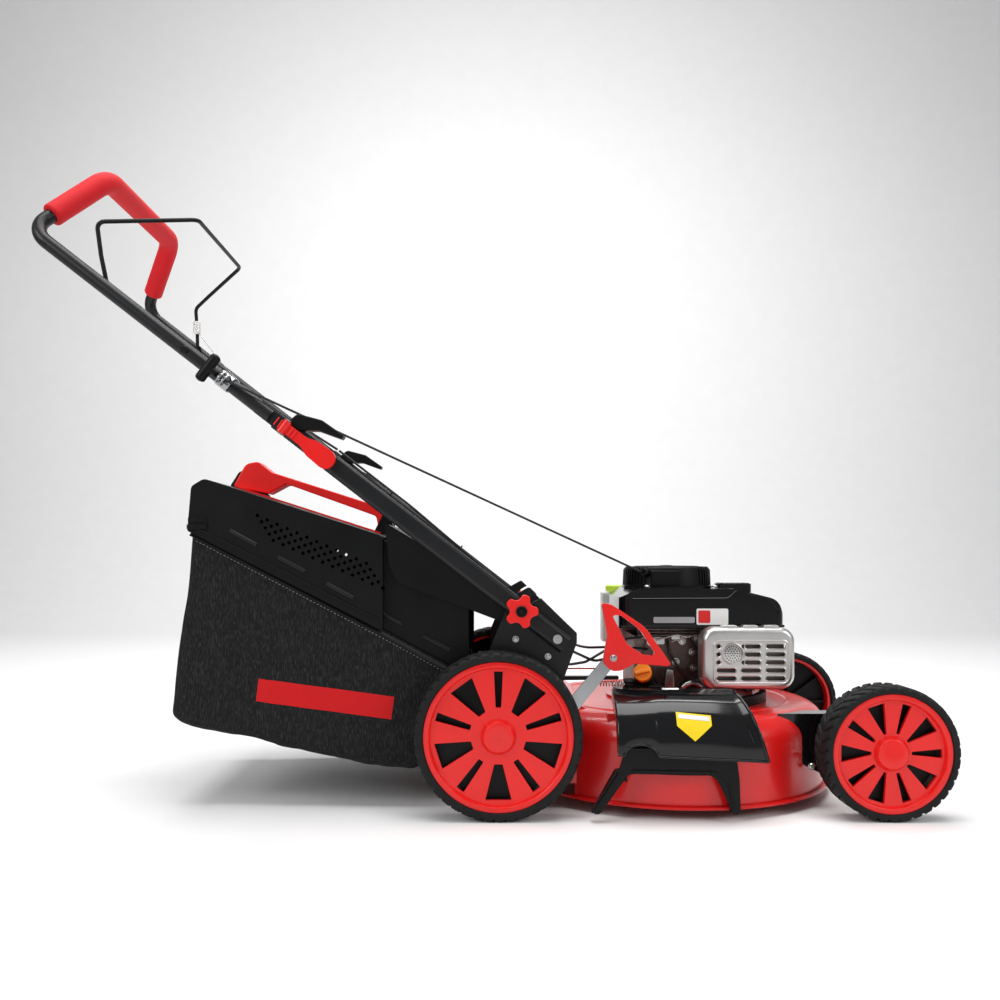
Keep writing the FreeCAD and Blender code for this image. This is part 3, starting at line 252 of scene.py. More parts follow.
def rounded(piece, width, segments=2, angle=32):
    """Round a piece's edges and make the result its mesh."""
    bevel = piece.modifiers.new("edges", "BEVEL")
    bevel.width = width * MM
    bevel.segments = segments
    bevel.limit_method = "ANGLE"
    bevel.angle_limit = math.radians(angle)
    bevel.use_clamp_overlap = True
    bevel.harden_normals = False
    return settle(piece)


def settle(piece):
    """Apply a piece's modifiers."""
    bpy.context.view_layer.update()
    graph = bpy.context.evaluated_depsgraph_get()
    mesh = bpy.data.meshes.new_from_object(piece.evaluated_get(graph))
    piece.modifiers.clear()
    piece.data = mesh
    return piece


def soften(node, width, segments=2):
    """A CAD node's own shape with rounded edges, standing for the node."""
    mesh = NODES[node].data.copy()
    build = bmesh.new()
    build.from_mesh(mesh)
    bmesh.ops.remove_doubles(build, verts=build.verts, dist=2e-5)
    bmesh.ops.dissolve_limit(build, angle_limit=math.radians(1.5), verts=build.verts, edges=build.edges)
    build.to_mesh(mesh)
    build.free()
    piece = show(node + "_shown", mesh, BODY_OF[node], SLOT_OF[node])
    rounded(piece, width, segments)
    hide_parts(node)
    return piece


def corner_points(before, corner, after, radius, steps=6):
    """Points round a corner on an arc of that radius."""
    back = (before - corner).normalized()
    ahead = (after - corner).normalized()
    half = back.angle(ahead) / 2
    centre = corner + (back + ahead).normalized() * (radius / math.sin(half))
    start = (corner + back * (radius / math.tan(half)) - centre).normalized()
    end = (corner + ahead * (radius / math.tan(half)) - centre).normalized()
    return [centre + start.slerp(end, step / steps) * radius for step in range(steps + 1)]


def rounded_path(points, radii, closed=False):
    """Straight runs with arcs at the corners, for bent tube, wire and plate outlines."""
    corners = [Vector(point) for point in points]
    count = len(corners)
    path = []
    for index, corner in enumerate(corners):
        if radii[index] and (closed or 0 < index < count - 1):
            path += corner_points(corners[index - 1], corner, corners[(index + 1) % count], radii[index])
        else:
            path.append(corner)
    return path


def curved(points, steps=10):
    """A smooth line through points, as a finer polyline."""
    last = len(points) - 1
    out = []
    for index in range(last):
        before, start, end, after = [Vector(points[max(0, min(last, index + n))]) for n in (-1, 0, 1, 2)]
        for step in range(steps):
            t = step / steps
            bend = (2 * before - 5 * start + 4 * end - after) * t ** 2
            twist = (3 * start - before - 3 * end + after) * t ** 3
            out.append((2 * start + (end - before) * t + bend + twist) / 2)
    return out + [Vector(points[-1])]


def evenly(path, step):
    """The same path with no run longer than step."""
    out = [path[0]]
    for start, end in zip(path, path[1:]):
        pieces = max(1, math.ceil((end - start).length / step))
        out += [start.lerp(end, number / pieces) for number in range(1, pieces + 1)]
    return out


def swept(name, path, radius, sides=16, flat=1.0):
    """A closed tube along a path. The radius may be a function of the share of the length."""
    path = [Vector(point) for point in path]
    length = [0.0]
    for start, end in zip(path, path[1:]):
        length.append(length[-1] + (end - start).length)
    along = (path[1] - path[0]).normalized()
    side = along.orthogonal().normalized()
    points = []
    for index, at in enumerate(path):
        ahead = path[min(index + 1, len(path) - 1)] - path[max(index - 1, 0)]
        side = along.rotation_difference(ahead.normalized()) @ side
        along = ahead.normalized()
        side = (side - along * side.dot(along)).normalized()
        other = along.cross(side)
        reach = radius(length[index] / length[-1]) if callable(radius) else radius
        for number in range(sides):
            turn = 2 * math.pi * number / sides
            points.append(at + side * (reach * math.cos(turn)) + other * (reach * flat * math.sin(turn)))
    faces = []
    for ring in range(len(path) - 1):
        for number in range(sides):
            after = (number + 1) % sides
            base = ring * sides
            faces.append((base + number, base + after, base + sides + after, base + sides + number))
    faces.append(tuple(range(sides))[::-1])
    faces.append(tuple(range((len(path) - 1) * sides, len(path) * sides)))
    return from_lists(name, points, faces)


def turned(name, profile, centre, axis, steps=64, closed=False):
    """A lathe piece: (radius, height) points turned about an axis through centre."""
    frame_turn = Vector((0, 0, 1)).rotation_difference(Vector(axis).normalized())
    points = []
    for radius, height in profile:
        for step in range(steps):
            turn = 2 * math.pi * step / steps
            local = Vector((radius * math.cos(turn), radius * math.sin(turn), height))
            points.append(Vector(centre) + frame_turn @ local)
    faces = []
    rings = len(profile)
    for ring in range(rings if closed else rings - 1):
        low = ring * steps
        high = (ring + 1) % rings * steps
        for step in range(steps):
            after = (step + 1) % steps
            faces.append((low + step, low + after, high + after, high + step))
    if not closed:
        faces.append(tuple(range(steps))[::-1])
        faces.append(tuple(range((rings - 1) * steps, rings * steps)))
    return from_lists(name, points, faces)


def slab(name, outline, low, high, radii=None, to=lambda across, up, out: (across, out, up)):
    """A plate: a closed outline of (across, up), pushed out from low to high."""
    corners = [(point[0], point[1], 0) for point in outline]
    path = rounded_path(corners, radii or [0] * len(corners), closed=True)
    count = len(path)
    points = [to(at.x, at.y, out) for out in (low, high) for at in path]
    faces = [tuple(range(count)), tuple(range(count, 2 * count))[::-1]]
    faces += [(n, (n + 1) % count, count + (n + 1) % count, count + n) for n in range(count)]
    return from_lists(name, points, faces)


def box_outline(left, right, low, high):
    return [(left, low), (right, low), (right, high), (left, high)]


def level(x, y, z):
    """Lays a plate flat: its outline in x and y, its thickness in z."""
    return x, y, z


def sheet_mesh(name, columns, rows, place):
    points = [place(column / columns, row / rows) for row in range(rows + 1)
              for column in range(columns + 1)]
    faces = []
    wide = columns + 1
    for row in range(rows):
        for column in range(columns):
            at = row * wide + column
            faces.append((at, at + 1, at + wide + 1, at + wide))
    return from_lists(name, points, faces)


def welded(name, meshes):
    """Several meshes in one."""
    build = bmesh.new()
    for mesh in meshes:
        build.from_mesh(mesh)
    joined = bpy.data.meshes.new(name)
    build.to_mesh(joined)
    build.free()
    return joined


def on_handle(distance):
    """A point (x, z) on the handle's line, measured up it from the clamp knob."""
    return 42 - distance * math.cos(SLOPE), 314.7 + distance * math.sin(SLOPE)


# ---- wheels

def tread_depth(turn, across, lugs):
    """How deep the tyre is cut at a place on its tread: slanted lugs and a zigzag middle groove."""
    phase = (turn * lugs / (2 * math.pi) + abs(across) * 0.034) % 1.0
    cross = max(0.0, min(1.0, (0.17 - abs(phase - 0.5)) / 0.05)) if abs(across) > 5 else 0.0
    zigzag = 3.2 * math.sin(turn * lugs / 2)
    middle = max(0.0, min(1.0, (2.2 - abs(across - zigzag)) / 0.9))
    return 2.8 * max(cross, middle)


def tyre(node, x, z, side, radius, ring, lugs):
    """A moulded tyre: beads, a flat sidewall with a raised ring, and a lugged tread."""
    section = [(ring, -25, 0), (ring + 1.5, -27.4, 0), (ring + 4, -27.8, 0), (radius - 8, -27.6, 0),
               (radius - 5.4, -28, 0.25), (radius - 3, -27.4, 0.8), (radius - 1.1, -25.6, 1),
               (radius - 0.4, -23.4, 1)]
    section += [(radius, -21 + step * 1.75, 1) for step in range(25)]
    section += [(reach, -across, cut) for reach, across, cut in reversed(section[:8])]
    steps = lugs * 12
    points = []
    for reach, across, cut in section:
        for step in range(steps):
            turn = 2 * math.pi * step / steps
            deep = reach - cut * tread_depth(turn, across, lugs)
            points.append((x + deep * math.cos(turn), 254 * side + across, z + deep * math.sin(turn)))
    rings = len(section)
    faces = []
    for ringed in range(rings):
        low = ringed * steps
        high = (ringed + 1) % rings * steps
        faces += [(low + s, low + (s + 1) % steps, high + (s + 1) % steps, high + s) for s in range(steps)]
    piece = show(node + "_tread", from_lists(node, points, faces), BODY_OF[node], "tyre_black", angle=40)
    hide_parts(node)


for side, where in SIDES:
    tyre("rear_tyre_" + where, 7, 127, side, 127, 113, 44)
    tyre("front_tyre_" + where, 597, 102, side, 102, 90, 36)
    for end in ("rear", "front"):
        soften("%s_rim_%s" % (end, where), 1.2)


# ---- wheel cores

def wheel_core(end, where, side, x, z, ring):
    """The dark disc behind a wheel's windows, ribbed on its inner face."""
    low = 2
    profile = [(21, low), (ring - 5.4, low), (ring - 5.4, low + 6), (ring - 13, low + 6),
               (ring - 17, low + 2.5), (42, low + 2.5), (36, low + 6), (21, low + 6)]
    parts = [turned("core", profile, (x, side * 254, z), (0, side, 0), 96, closed=True)]
    for number in range(10):
        angle = math.radians(36 * number)
        along = Vector((math.cos(angle), 0, math.sin(angle)))
        across = Vector((-math.sin(angle), 0, math.cos(angle)))
        middle = Vector((x, side * 254, z))

        def rib(run, wide, out):
            return middle + along * run + across * wide + Vector((0, side * out, 0))
        parts.append(slab("rib", box_outline(21, ring - 7, -1.3, 1.3), -11, low, to=rib))
    show("%s_core_%s" % (end, where), welded("core", parts), "%s_wheel_%s" % (end, where), "black_plastic")


for side, where in SIDES:
    wheel_core("rear", where, side, 7, 127, 113)
    wheel_core("front", where, side, 597, 102, 90)


# ---- bag

# The hem runs under the lid's edge from the rear to the mouth; the low line is the bag's underside.
HEM = [(-477, 440), (-174, 282), (-44, 211)]
LOW = [(-508, 150), (-498, 137), (-430, 120), (-330, 98), (-230, 77), (-128, 60), (-60, 98)]


def point_at(line, share):
    """A point on a polyline of (x, z) at a share of its length."""
    lengths = [math.dist(a, b) for a, b in zip(line, line[1:])]
    left = share * sum(lengths)
    for (a, b), length in zip(zip(line, line[1:]), lengths):
        if left <= length or (a, b) == (line[-2], line[-1]):
            part = min(1.0, left / length)
            return a[0] + (b[0] - a[0]) * part, a[1] + (b[1] - a[1]) * part
        left -= length
    return line[-1]


def shell_point(across, along, down):
    """A point of the bag's box: across from -1 to 1, along the hem from 0 to 1, down from 0 to 1."""
    top = point_at(HEM, along)
    low = point_at(LOW, along)
    return top[0] + (low[0] - top[0]) * down, across * 203, top[1] + (low[1] - top[1]) * down


def add_panel(build, columns, rows, place):
    grid = [[build.verts.new(place(column / columns, row / rows)) for column in range(columns + 1)]
            for row in range(rows + 1)]
    for row in range(rows):
        for column in range(columns):
            build.faces.new((grid[row][column], grid[row][column + 1], grid[row + 1][column + 1],
                             grid[row + 1][column]))


def loose(point):
    """How far cloth stands off its box here: folds that hang from the hem and die out at it."""
    x, z = point.x, point.z
    hem = HEM[0][1] + (x - HEM[0][0]) * (HEM[-1][1] - HEM[0][1]) / (HEM[-1][0] - HEM[0][0])
    free = max(0.0, min(1.0, (hem - z) / 90))
    broad = noise.noise(Vector((x * 0.010, point.y * 0.012, z * 0.005)))
    upright = noise.noise(Vector((x * 0.032 + z * 0.010, point.y * 0.03, z * 0.006 + 7)))
    small = noise.noise(Vector((x * 0.08, point.y * 0.08, z * 0.022 + 3)))
    return free * (5.5 * broad + 2.6 * upright + 0.7 * small)


def bag_cloth():
    """One continuous mesh shell: two sides, back, floor and front, rounded where they meet."""
    build = bmesh.new()
    for side in (-1, 1):
        add_panel(build, 90, 56, lambda along, down: shell_point(side, along, down))
    add_panel(build, 60, 90, lambda across, along: shell_point(2 * across - 1, along, 1))
    add_panel(build, 60, 56, lambda across, down: shell_point(2 * across - 1, 0, down))
    add_panel(build, 60, 56, lambda across, down: shell_point(2 * across - 1, 1, down))
    bmesh.ops.remove_doubles(build, verts=build.verts, dist=0.5)
    bmesh.ops.recalc_face_normals(build, faces=build.faces)
    hem = {vert for edge in build.edges if edge.is_boundary for vert in edge.verts}
    free = [vert for vert in build.verts if vert not in hem]
    for _ in range(9):
        bmesh.ops.smooth_vert(build, verts=free, factor=0.5, use_axis_x=True, use_axis_y=True,
                              use_axis_z=True)
    build.normal_update()
    middle = Vector((-260, 0, 250))
    for vert in free:
        out = vert.normal if vert.normal.dot(vert.co - middle) > 0 else -vert.normal
        flat = max(0.0, 1 - abs(abs(vert.co.y) - 203) / 40)
        sag = 7 * (1 - (vert.co.y / 203) ** 2) if vert.co.z < 150 else 0
        vert.co += out * loose(vert.co) * (0.6 + 0.4 * flat) - Vector((0, 0, sag))
        vert.co.z = max(vert.co.z, 61)
    bmesh.ops.scale(build, vec=(MM, MM, MM), verts=build.verts)
    mesh = bpy.data.meshes.new("bag_cloth")
    build.to_mesh(mesh)
    build.free()
    piece = show("bag_cloth", mesh, None, "mesh_fabric", angle=80)
    thicken = piece.modifiers.new("cloth", "SOLIDIFY")
    thicken.thickness = 0.0008
    settle(piece)
    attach(piece, "grass_bag")
    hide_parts("bag_fabric")


def on_hem(along, side, below, out):
    x, z = point_at(HEM, along)
    return Vector((x, side * (203 + out), z - below))


def lid_trim():
    """The lid's lower edge: a hem band, its stitches, clip bars, corner steps and a seam line."""
    for side, where in SIDES:
        line = [on_hem(share / 60, side, 6, 0.8) for share in range(61)]
        show("bag_hem_" + where, swept("hem", line, 4.6, sides=10, flat=0.32), "grass_bag", "black_steel")
        stitches = []
        for number in range(74):
            share = 0.02 + number * 0.0125
            ends = [on_hem(share + step, side, 13, 1.6) for step in (0, 0.0055)]
            stitches.append(swept("stitch", ends, 0.42, sides=6))
        show("hem_stitches_" + where, welded("stitches", stitches), "grass_bag", "tank_white",
             finish=PLATE_GREY)
        bars = []
        for number in range(5):
            x = -392 + number * 75.5
            z = 428 - number * 41.5
            half = 212.2 if x < -174 else 197
            ends = [Vector((x + step, side * half, z - step * 0.535)) for step in (-21, 21)]
            bars.append(swept("bar", ends, 3.6, sides=12, flat=0.6))
        show("lid_clips_" + where, welded("bars", bars), "grass_bag", "black_steel")
        rim = [(-474, 447), (-400, 412), (-300, 361), (-182, 300)]
        line = evenly([Vector((x, side * 212, z)) for x, z in rim], 12)
        show("lid_rib_" + where, swept("rib", line, 1.6, sides=8), "grass_bag", "black_plastic")
    steps = []
    for low, grow in ((452, 2.2), (441, 3.6)):
        outline = box_outline(-480 - grow, -448, -212 - grow, 212 + grow)
        steps.append(slab("step", outline, low, low + 7, [14, 3, 3, 14], to=level))
    show("lid_steps", welded("steps", steps), "grass_bag", "black_plastic")
    strip = [(-452, 522), (-200, 441), (-200, 438), (-452, 519)]
    show("lid_strip", slab("strip", strip, -30, 30), "grass_bag", "red_plastic")
    wedge = [(-470, 522), (-447, 558), (-432, 530), (-404, 508), (-404, 502)]
    show("handle_wedge", slab("wedge", wedge, -15, 15, [4, 8, 10, 4, 2]), "grass_bag", "black_plastic")
    foot = [(-212, 443), (-196, 474), (-182, 470), (-176, 432)]
    show("handle_foot", slab("foot", foot, -21, 21, [3, 6, 6, 3]), "grass_bag", "black_plastic")


def soft_handle():
    """The carry handle, crowned across, with a rounded hump."""
    outline = [(-463, 522), (-440, 563), (-418, 567), (-394, 548), (-196, 485), (-181, 454), (-181, 433),
               (-203, 440), (-209, 470), (-368, 527), (-400, 510)]
    radii = [4, 16, 12, 10, 10, 6, 2, 3, 8, 10, 4]
    piece = show("bag_handle_shown", slab("handle", outline, -19.5, 19.5, radii), "grass_bag", "red_plastic")
    rounded(piece, 5, 4)
    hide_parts("bag_handle")


bag_cloth()
lid_trim()
soft_handle()
soften("bag_top", 3.5, 4)


# ---- handle, foam, wire, rope and cables

TUBE_Y = 239
FOLD_AT = (42 + 318) / math.cos(SLOPE)
FOLD_Z = on_handle(FOLD_AT)[1]
ALONG = Vector((-math.cos(SLOPE), 0, math.sin(SLOPE)))
ACROSS = Vector((math.sin(SLOPE), 0, math.cos(SLOPE)))


def eased(radius, length, end):
    """A radius that rounds off over the last stretch at both ends."""
    def reach(share):
        near = min(share, 1 - share) * length
        if near >= end:
            return radius
        return radius - end + math.sqrt(max(0.0, end * end - (end - near) ** 2))
    return reach


def foam_grip():
    start = on_handle((42 + 712) / math.cos(SLOPE))
    start = Vector((start[0], -TUBE_Y, start[1]))
    corner = Vector((-631, -148, 1013.5))
    first = start + (corner - start) * 0.26
    last = Vector((first.x, -first.y, first.z))
    path = rounded_path([first, corner, Vector((-631, 148, 1013.5)), last], [0, 46, 46, 0])
    ends = [first.lerp(path[1], share) for share in (0, 0.01, 0.02, 0.03, 0.045, 0.07, 0.1)]
    back = [last.lerp(path[-2], share) for share in (0.1, 0.07, 0.045, 0.03, 0.02, 0.01, 0)]
    path = ends + evenly(path[1:-1], 8) + back
    length = sum((b - a).length for a, b in zip(path, path[1:]))
    mesh = swept("foam", path, eased(17.5, length, 4), sides=40)
    piece = show("foam_sleeve", mesh, "upper_handle", "foam_red")
    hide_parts("foam_grip")


def bail_wire():
    """The bail, with the silver clip that holds the brake cable's inner wire on the far leg."""
    x, z, side = -602, 822, 220.5
    points = [(x, -235, z), (x, -side, z), (-611, -side, 866), (-618, -side, 919), (-490, -127, 956),
              (-490, 127, 956), (-570, 196, 922), (-606, side, 902), (-603, side, 862), (x, side, z),
              (x, 235, z)]
    path = rounded_path(points, [0, 3.3, 30, 14, 22, 22, 40, 12, 30, 3.3, 0])
    piece = show("bail_wire", swept("bail", evenly(path, 10), 3.4, sides=16), "bail", "black_plastic")
    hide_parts("bail")
    clip = slab("clip", [(-609, 850), (-597, 850), (-597, 876), (-609, 876)], side - 5, side + 5, [3] * 4)
    rounded(show("bail_clip", clip, "bail", "bright_steel"), 1.2)
    wire = swept("wire", [(-600, side, 852), (-560, side, 800), (-516, side + 1, 752)], 0.6, sides=8)
    wire = show("brake_inner_wire", wire, None, "bright_steel")
    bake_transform(wire)


def stirred(name, points, radius, node_names, slot):
    """A rope or cable in place of its CAD nodes, riding on no body."""
    piece = show(name, swept(name, evenly(points, 12), radius, sides=14), None, slot)
    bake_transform(piece)
    if node_names:
        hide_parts(*node_names)


def ropes():
    x, z = on_handle(574)
    guide = Vector((x, -TUBE_Y - 24, z))
    eye = Vector((254, -56, 372))
    fold = eye.lerp(guide, (-318 - eye.x) / (guide.x - eye.x))
    stirred("rope_lower", [eye, fold], 1.8, ["starter_rope_lower"],
            "rope_black")
    stirred("rope_upper", [fold, guide], 1.8, ["starter_rope_upper"],
            "rope_black")
    grip = guide + ALONG * 12
    stirred("rope_stub", [guide, grip], 1.8, [], "rope_black")


def cables():
    inside = TUBE_Y - 17
    start = on_handle(700)
    fold = Vector((-318, inside, FOLD_Z + 22))
    upper = rounded_path([(start[0], inside, start[1] + 2), (-430, inside, 688), fold], [0, 600, 0])
    stirred("brake_cable_upper", upper, 2.5, ["control_cable_upper"],
            "cable_black")
    lower = rounded_path([fold + Vector((3.2, 0, -2.3)), (-170, inside, 502), (-10, inside - 2, 366),
                         (86, inside - 12, 262), (170, 176, 218), (226, 130, 224), (262, 84, 216)],
                        [0, 500, 400, 120, 90, 60, 0])
    stirred("brake_cable_lower", lower, 2.5, ["control_cable_lower"],
            "cable_black")
    for distance in (150, 330):
        x, z = on_handle(distance)
        band = Vector((x, TUBE_Y, z))
        ring = [band + Vector((0, 11.5 * math.cos(a), 0)) + ACROSS * (17.5 * math.sin(a)) for a in
                [math.radians(15 * step) for step in range(25)]]
        show("cable_tie_%d" % distance, swept("tie", ring, 1.5, sides=8), "lower_handle", "black_plastic")
    for number, line in enumerate((
            [(96, -196, 238), (116, -192, 226), (146, -187, 230), (178, -176, 247), (222, -120, 262),
             (262, -84, 262)],
            [(96, -194, 262), (126, -190, 247), (160, -184, 231), (206, -150, 236), (236, -96, 244),
             (262, -78, 240)])):
        path = rounded_path(line, [0] + [26] * 4 + [0])
        show("engine_cable_%d" % number, swept("cable", evenly(path, 8), 2.2, sides=12), "chassis",
             "cable_black")


def spiral_guide():
    """The chrome wire spiral that the starter rope runs through."""
    x, z = on_handle(600)
    middle = Vector((x, -TUBE_Y - 24, z)) - ALONG * 26
    side = Vector((0, 1, 0))
    path = []
    for step in range(61):
        turn = 2 * math.pi * 2.25 * step / 60
        round_it = side * (9 * math.cos(turn)) + ACROSS * (9 * math.sin(turn))
        path.append(middle + ALONG * (step / 60 * 17 - 10) + round_it)
    spiral = show("rope_spiral", swept("spiral", path, 2.1, sides=12), "upper_handle", "bright_steel",
                  finish=CHROME)
    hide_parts("rope_guide")
    band = [(13.2, -11), (13.2, 11), (12.4, 12), (11.1, 12), (11.1, -12), (12.4, -12)]
    show("rope_guide_band", turned("band", band, middle + side * 24, ALONG, 40, closed=True), "upper_handle",
         "bright_steel", finish=CHROME)


def starter_grip():
    """The T grip: a fat oval bar with a raised bead, on a short neck."""
    x, z = on_handle(600)
    middle = Vector((x, -TUBE_Y - 24, z))
    bar = swept("bar", evenly([middle - ACROSS * 24, middle + ACROSS * 24], 1.5), eased(8, 48, 6), sides=32)
    bead = swept("bead", [middle - ACROSS * 21 - ALONG * 7, middle + ACROSS * 21 - ALONG * 7], 1.6, sides=10)
    neck = turned("neck", [(3.2, -18), (5.6, -16), (6.4, -8), (6.8, -2)], middle, ALONG, 32)
    piece = show("starter_t_grip", welded("grip", [bar, bead, neck]), "starter_grip", "black_plastic")
    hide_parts("starter_grip")


def screw(name, at, out, radius, body, slot="bright_steel", finish=None):
    """A socket screw: a washer, a rounded head and its recess."""
    at = Vector(at)
    out = Vector(out).normalized()
    head = [(radius * 0.78, 0.4), (radius * 0.78, radius * 0.35), (radius * 0.62, radius * 0.55),
            (radius * 0.32, radius * 0.58), (radius * 0.28, radius * 0.25)]
    washer = turned("washer", [(radius, 0), (radius, 0.9), (radius * 0.4, 1.0)], at, out, 32)
    piece = welded(name, [washer, turned("head", head, at, out, 24)])
    show(name, piece, body, slot, finish=finish)


def handle_details():
    for side, where in SIDES:
        face = TUBE_Y + 27
        rim = [(8.6, 0), (8.6, 2.2), (7.6, 3), (6.2, 3), (5.8, 0.8), (4.6, 0.8), (4.4, 2.6), (2.4, 2.8)]
        show("knob_centre_" + where, turned("centre", rim, (42, side * face, 314.7), (0, side, 0), 48),
             "clamp_knob_" + where, "black_plastic")
        x, z = on_handle(650)
        mesh = turned("button", [(6.5, -1), (6.5, 1.2), (4.5, 3)], (x, side * (TUBE_Y + 10.6), z),
                      (0, side, 0), 32)
        show("tube_button_" + where, mesh, "upper_handle", "black_plastic")
        x, z = on_handle(FOLD_AT + 20)
        wing = [(-318, 600), (-300, 616), (-262, 606), (-228, 582), (-232, 577), (-268, 590), (-300, 590)]
        base = Vector((x, side * TUBE_Y, z))
        mesh = slab("wing", wing, side * TUBE_Y - 11, side * TUBE_Y + 11, [4, 10, 16, 2, 2, 10, 3])
        piece = show("fold_cap_" + where, mesh, "lower_handle", "black_plastic")
        rounded(piece, 2.2, 3)
        grooves = []
        for number in range(6):
            at = base - ALONG * (6 + number * 6.8) + Vector((0, side * 20.8, 0))
            grooves.append(swept("groove", [at - ACROSS * 7, at + ACROSS * 7], 1.1, sides=8))
        show("cam_serration_" + where, welded("grooves", grooves), "cam_lever_" + where, "red_plastic")


foam_grip()
bail_wire()
ropes()
cables()
spiral_guide()
starter_grip()
handle_details()


# ---- engine dressing

ENGINE = Vector((309, 0, 0))
NEAR_FACE = -112


def part(name, mesh, slot, finish=None, width=0.0, body="chassis"):
    piece = show(name, mesh, body, slot, finish=finish)
    if width:
        rounded(piece, width, 3)
    return piece


def starter_drum():
    """Ribs round the starter cover, with the flat panel, rope eye and lid rings it shows in front."""
    ribs = []
    for number in range(64):
        angle = math.radians(number * 360 / 64)
        if math.sin(angle) < -0.5 and -0.62 < math.cos(angle) < 0.6:
            continue
        out = Vector((math.cos(angle), math.sin(angle), 0))
        over = Vector((-math.sin(angle), math.cos(angle), 0))

        def rib(reach, up, across, out=out, over=over):
            return ENGINE + out * reach + over * across + Vector((0, 0, up))
        outline = [(74, 347), (77.6, 348), (76.4, 375), (72, 380.6), (60, 380.9), (60, 379.6), (71, 378)]
        ribs.append(slab("rib", outline, -1.3, 1.3, [0, 0, 5, 3, 0, 0, 0], to=rib))
    part("starter_ribs", welded("ribs", ribs), "black_plastic")
    lid = [(57, 379), (57, 381.2), (54, 382), (30, 382.3), (28, 381), (12, 381), (11, 383), (4, 383.4)]
    part("starter_lid", turned("lid", lid, ENGINE, UP, 96), "black_plastic")
    panel = [(270, 347), (318, 347), (318, 374), (270, 374)]
    part("starter_panel", slab("panel", panel, -79, -66, [3] * 4), "black_plastic", width=1.5)
    eye = [(7, 0), (7, 3), (6, 5), (3.4, 5), (3, 2)]
    part("rope_eye", turned("eye", eye, (262, -62, 370), (-0.72, -0.62, 0.28), 32), "black_plastic")
    screw("starter_screw_left", (262, -80, 346), UP, 6, "chassis")
    screw("starter_screw_right", (384, -52, 345), UP, 6, "chassis")
    band = [(77.8, 342.5), (79.5, 343), (79.5, 347), (77.8, 348), (76, 348), (76, 342.5)]
    part("starter_band", turned("band", band, ENGINE, UP, 96, closed=True), "gloss_black")


def housing_trim():
    """Raised lines, plain plates and the snorkel box on the fan housing."""
    line = rounded_path([(232, NEAR_FACE, 327), (392, NEAR_FACE, 328), (406, NEAR_FACE, 341)], [0, 14, 0])
    part("housing_line", swept("line", evenly(line, 6), 1.4, sides=10), "gloss_black")
    line = rounded_path([(424, NEAR_FACE, 336), (462, NEAR_FACE, 327), (478, NEAR_FACE, 303)], [0, 18, 0])
    part("housing_line_front", swept("line", evenly(line, 6), 1.4, sides=10), "gloss_black")
    skirt = [(214, 278), (486, 280), (486, 284), (214, 282)]
    part("housing_skirt", slab("skirt", skirt, NEAR_FACE - 1.6, NEAR_FACE + 2), "gloss_black", width=0.8)
    for name, left, right, low, high, slot, finish in (
            ("plate_strip", 267, 336, 287, 297, "black_plastic", PLATE_GREY),
            ("plate_white", 339, 392, 284, 311, "tank_white", PLATE_WHITE),
            ("plate_red", 342, 362, 287, 308, "red_plastic", PLATE_RED)):
        lift = 0.9 if name == "plate_red" else 0.5
        mesh = slab(name, box_outline(left, right, low, high), NEAR_FACE - lift, NEAR_FACE + 0.5, [2.5] * 4)
        part(name, mesh, slot, finish)
    ribs = [slab("rib", box_outline(left, left + 3, -50, -10), 350, 352.4, to=level)
            for left in range(396, 450, 9)]
    part("housing_cap_ribs", welded("ribs", ribs), "gloss_black")


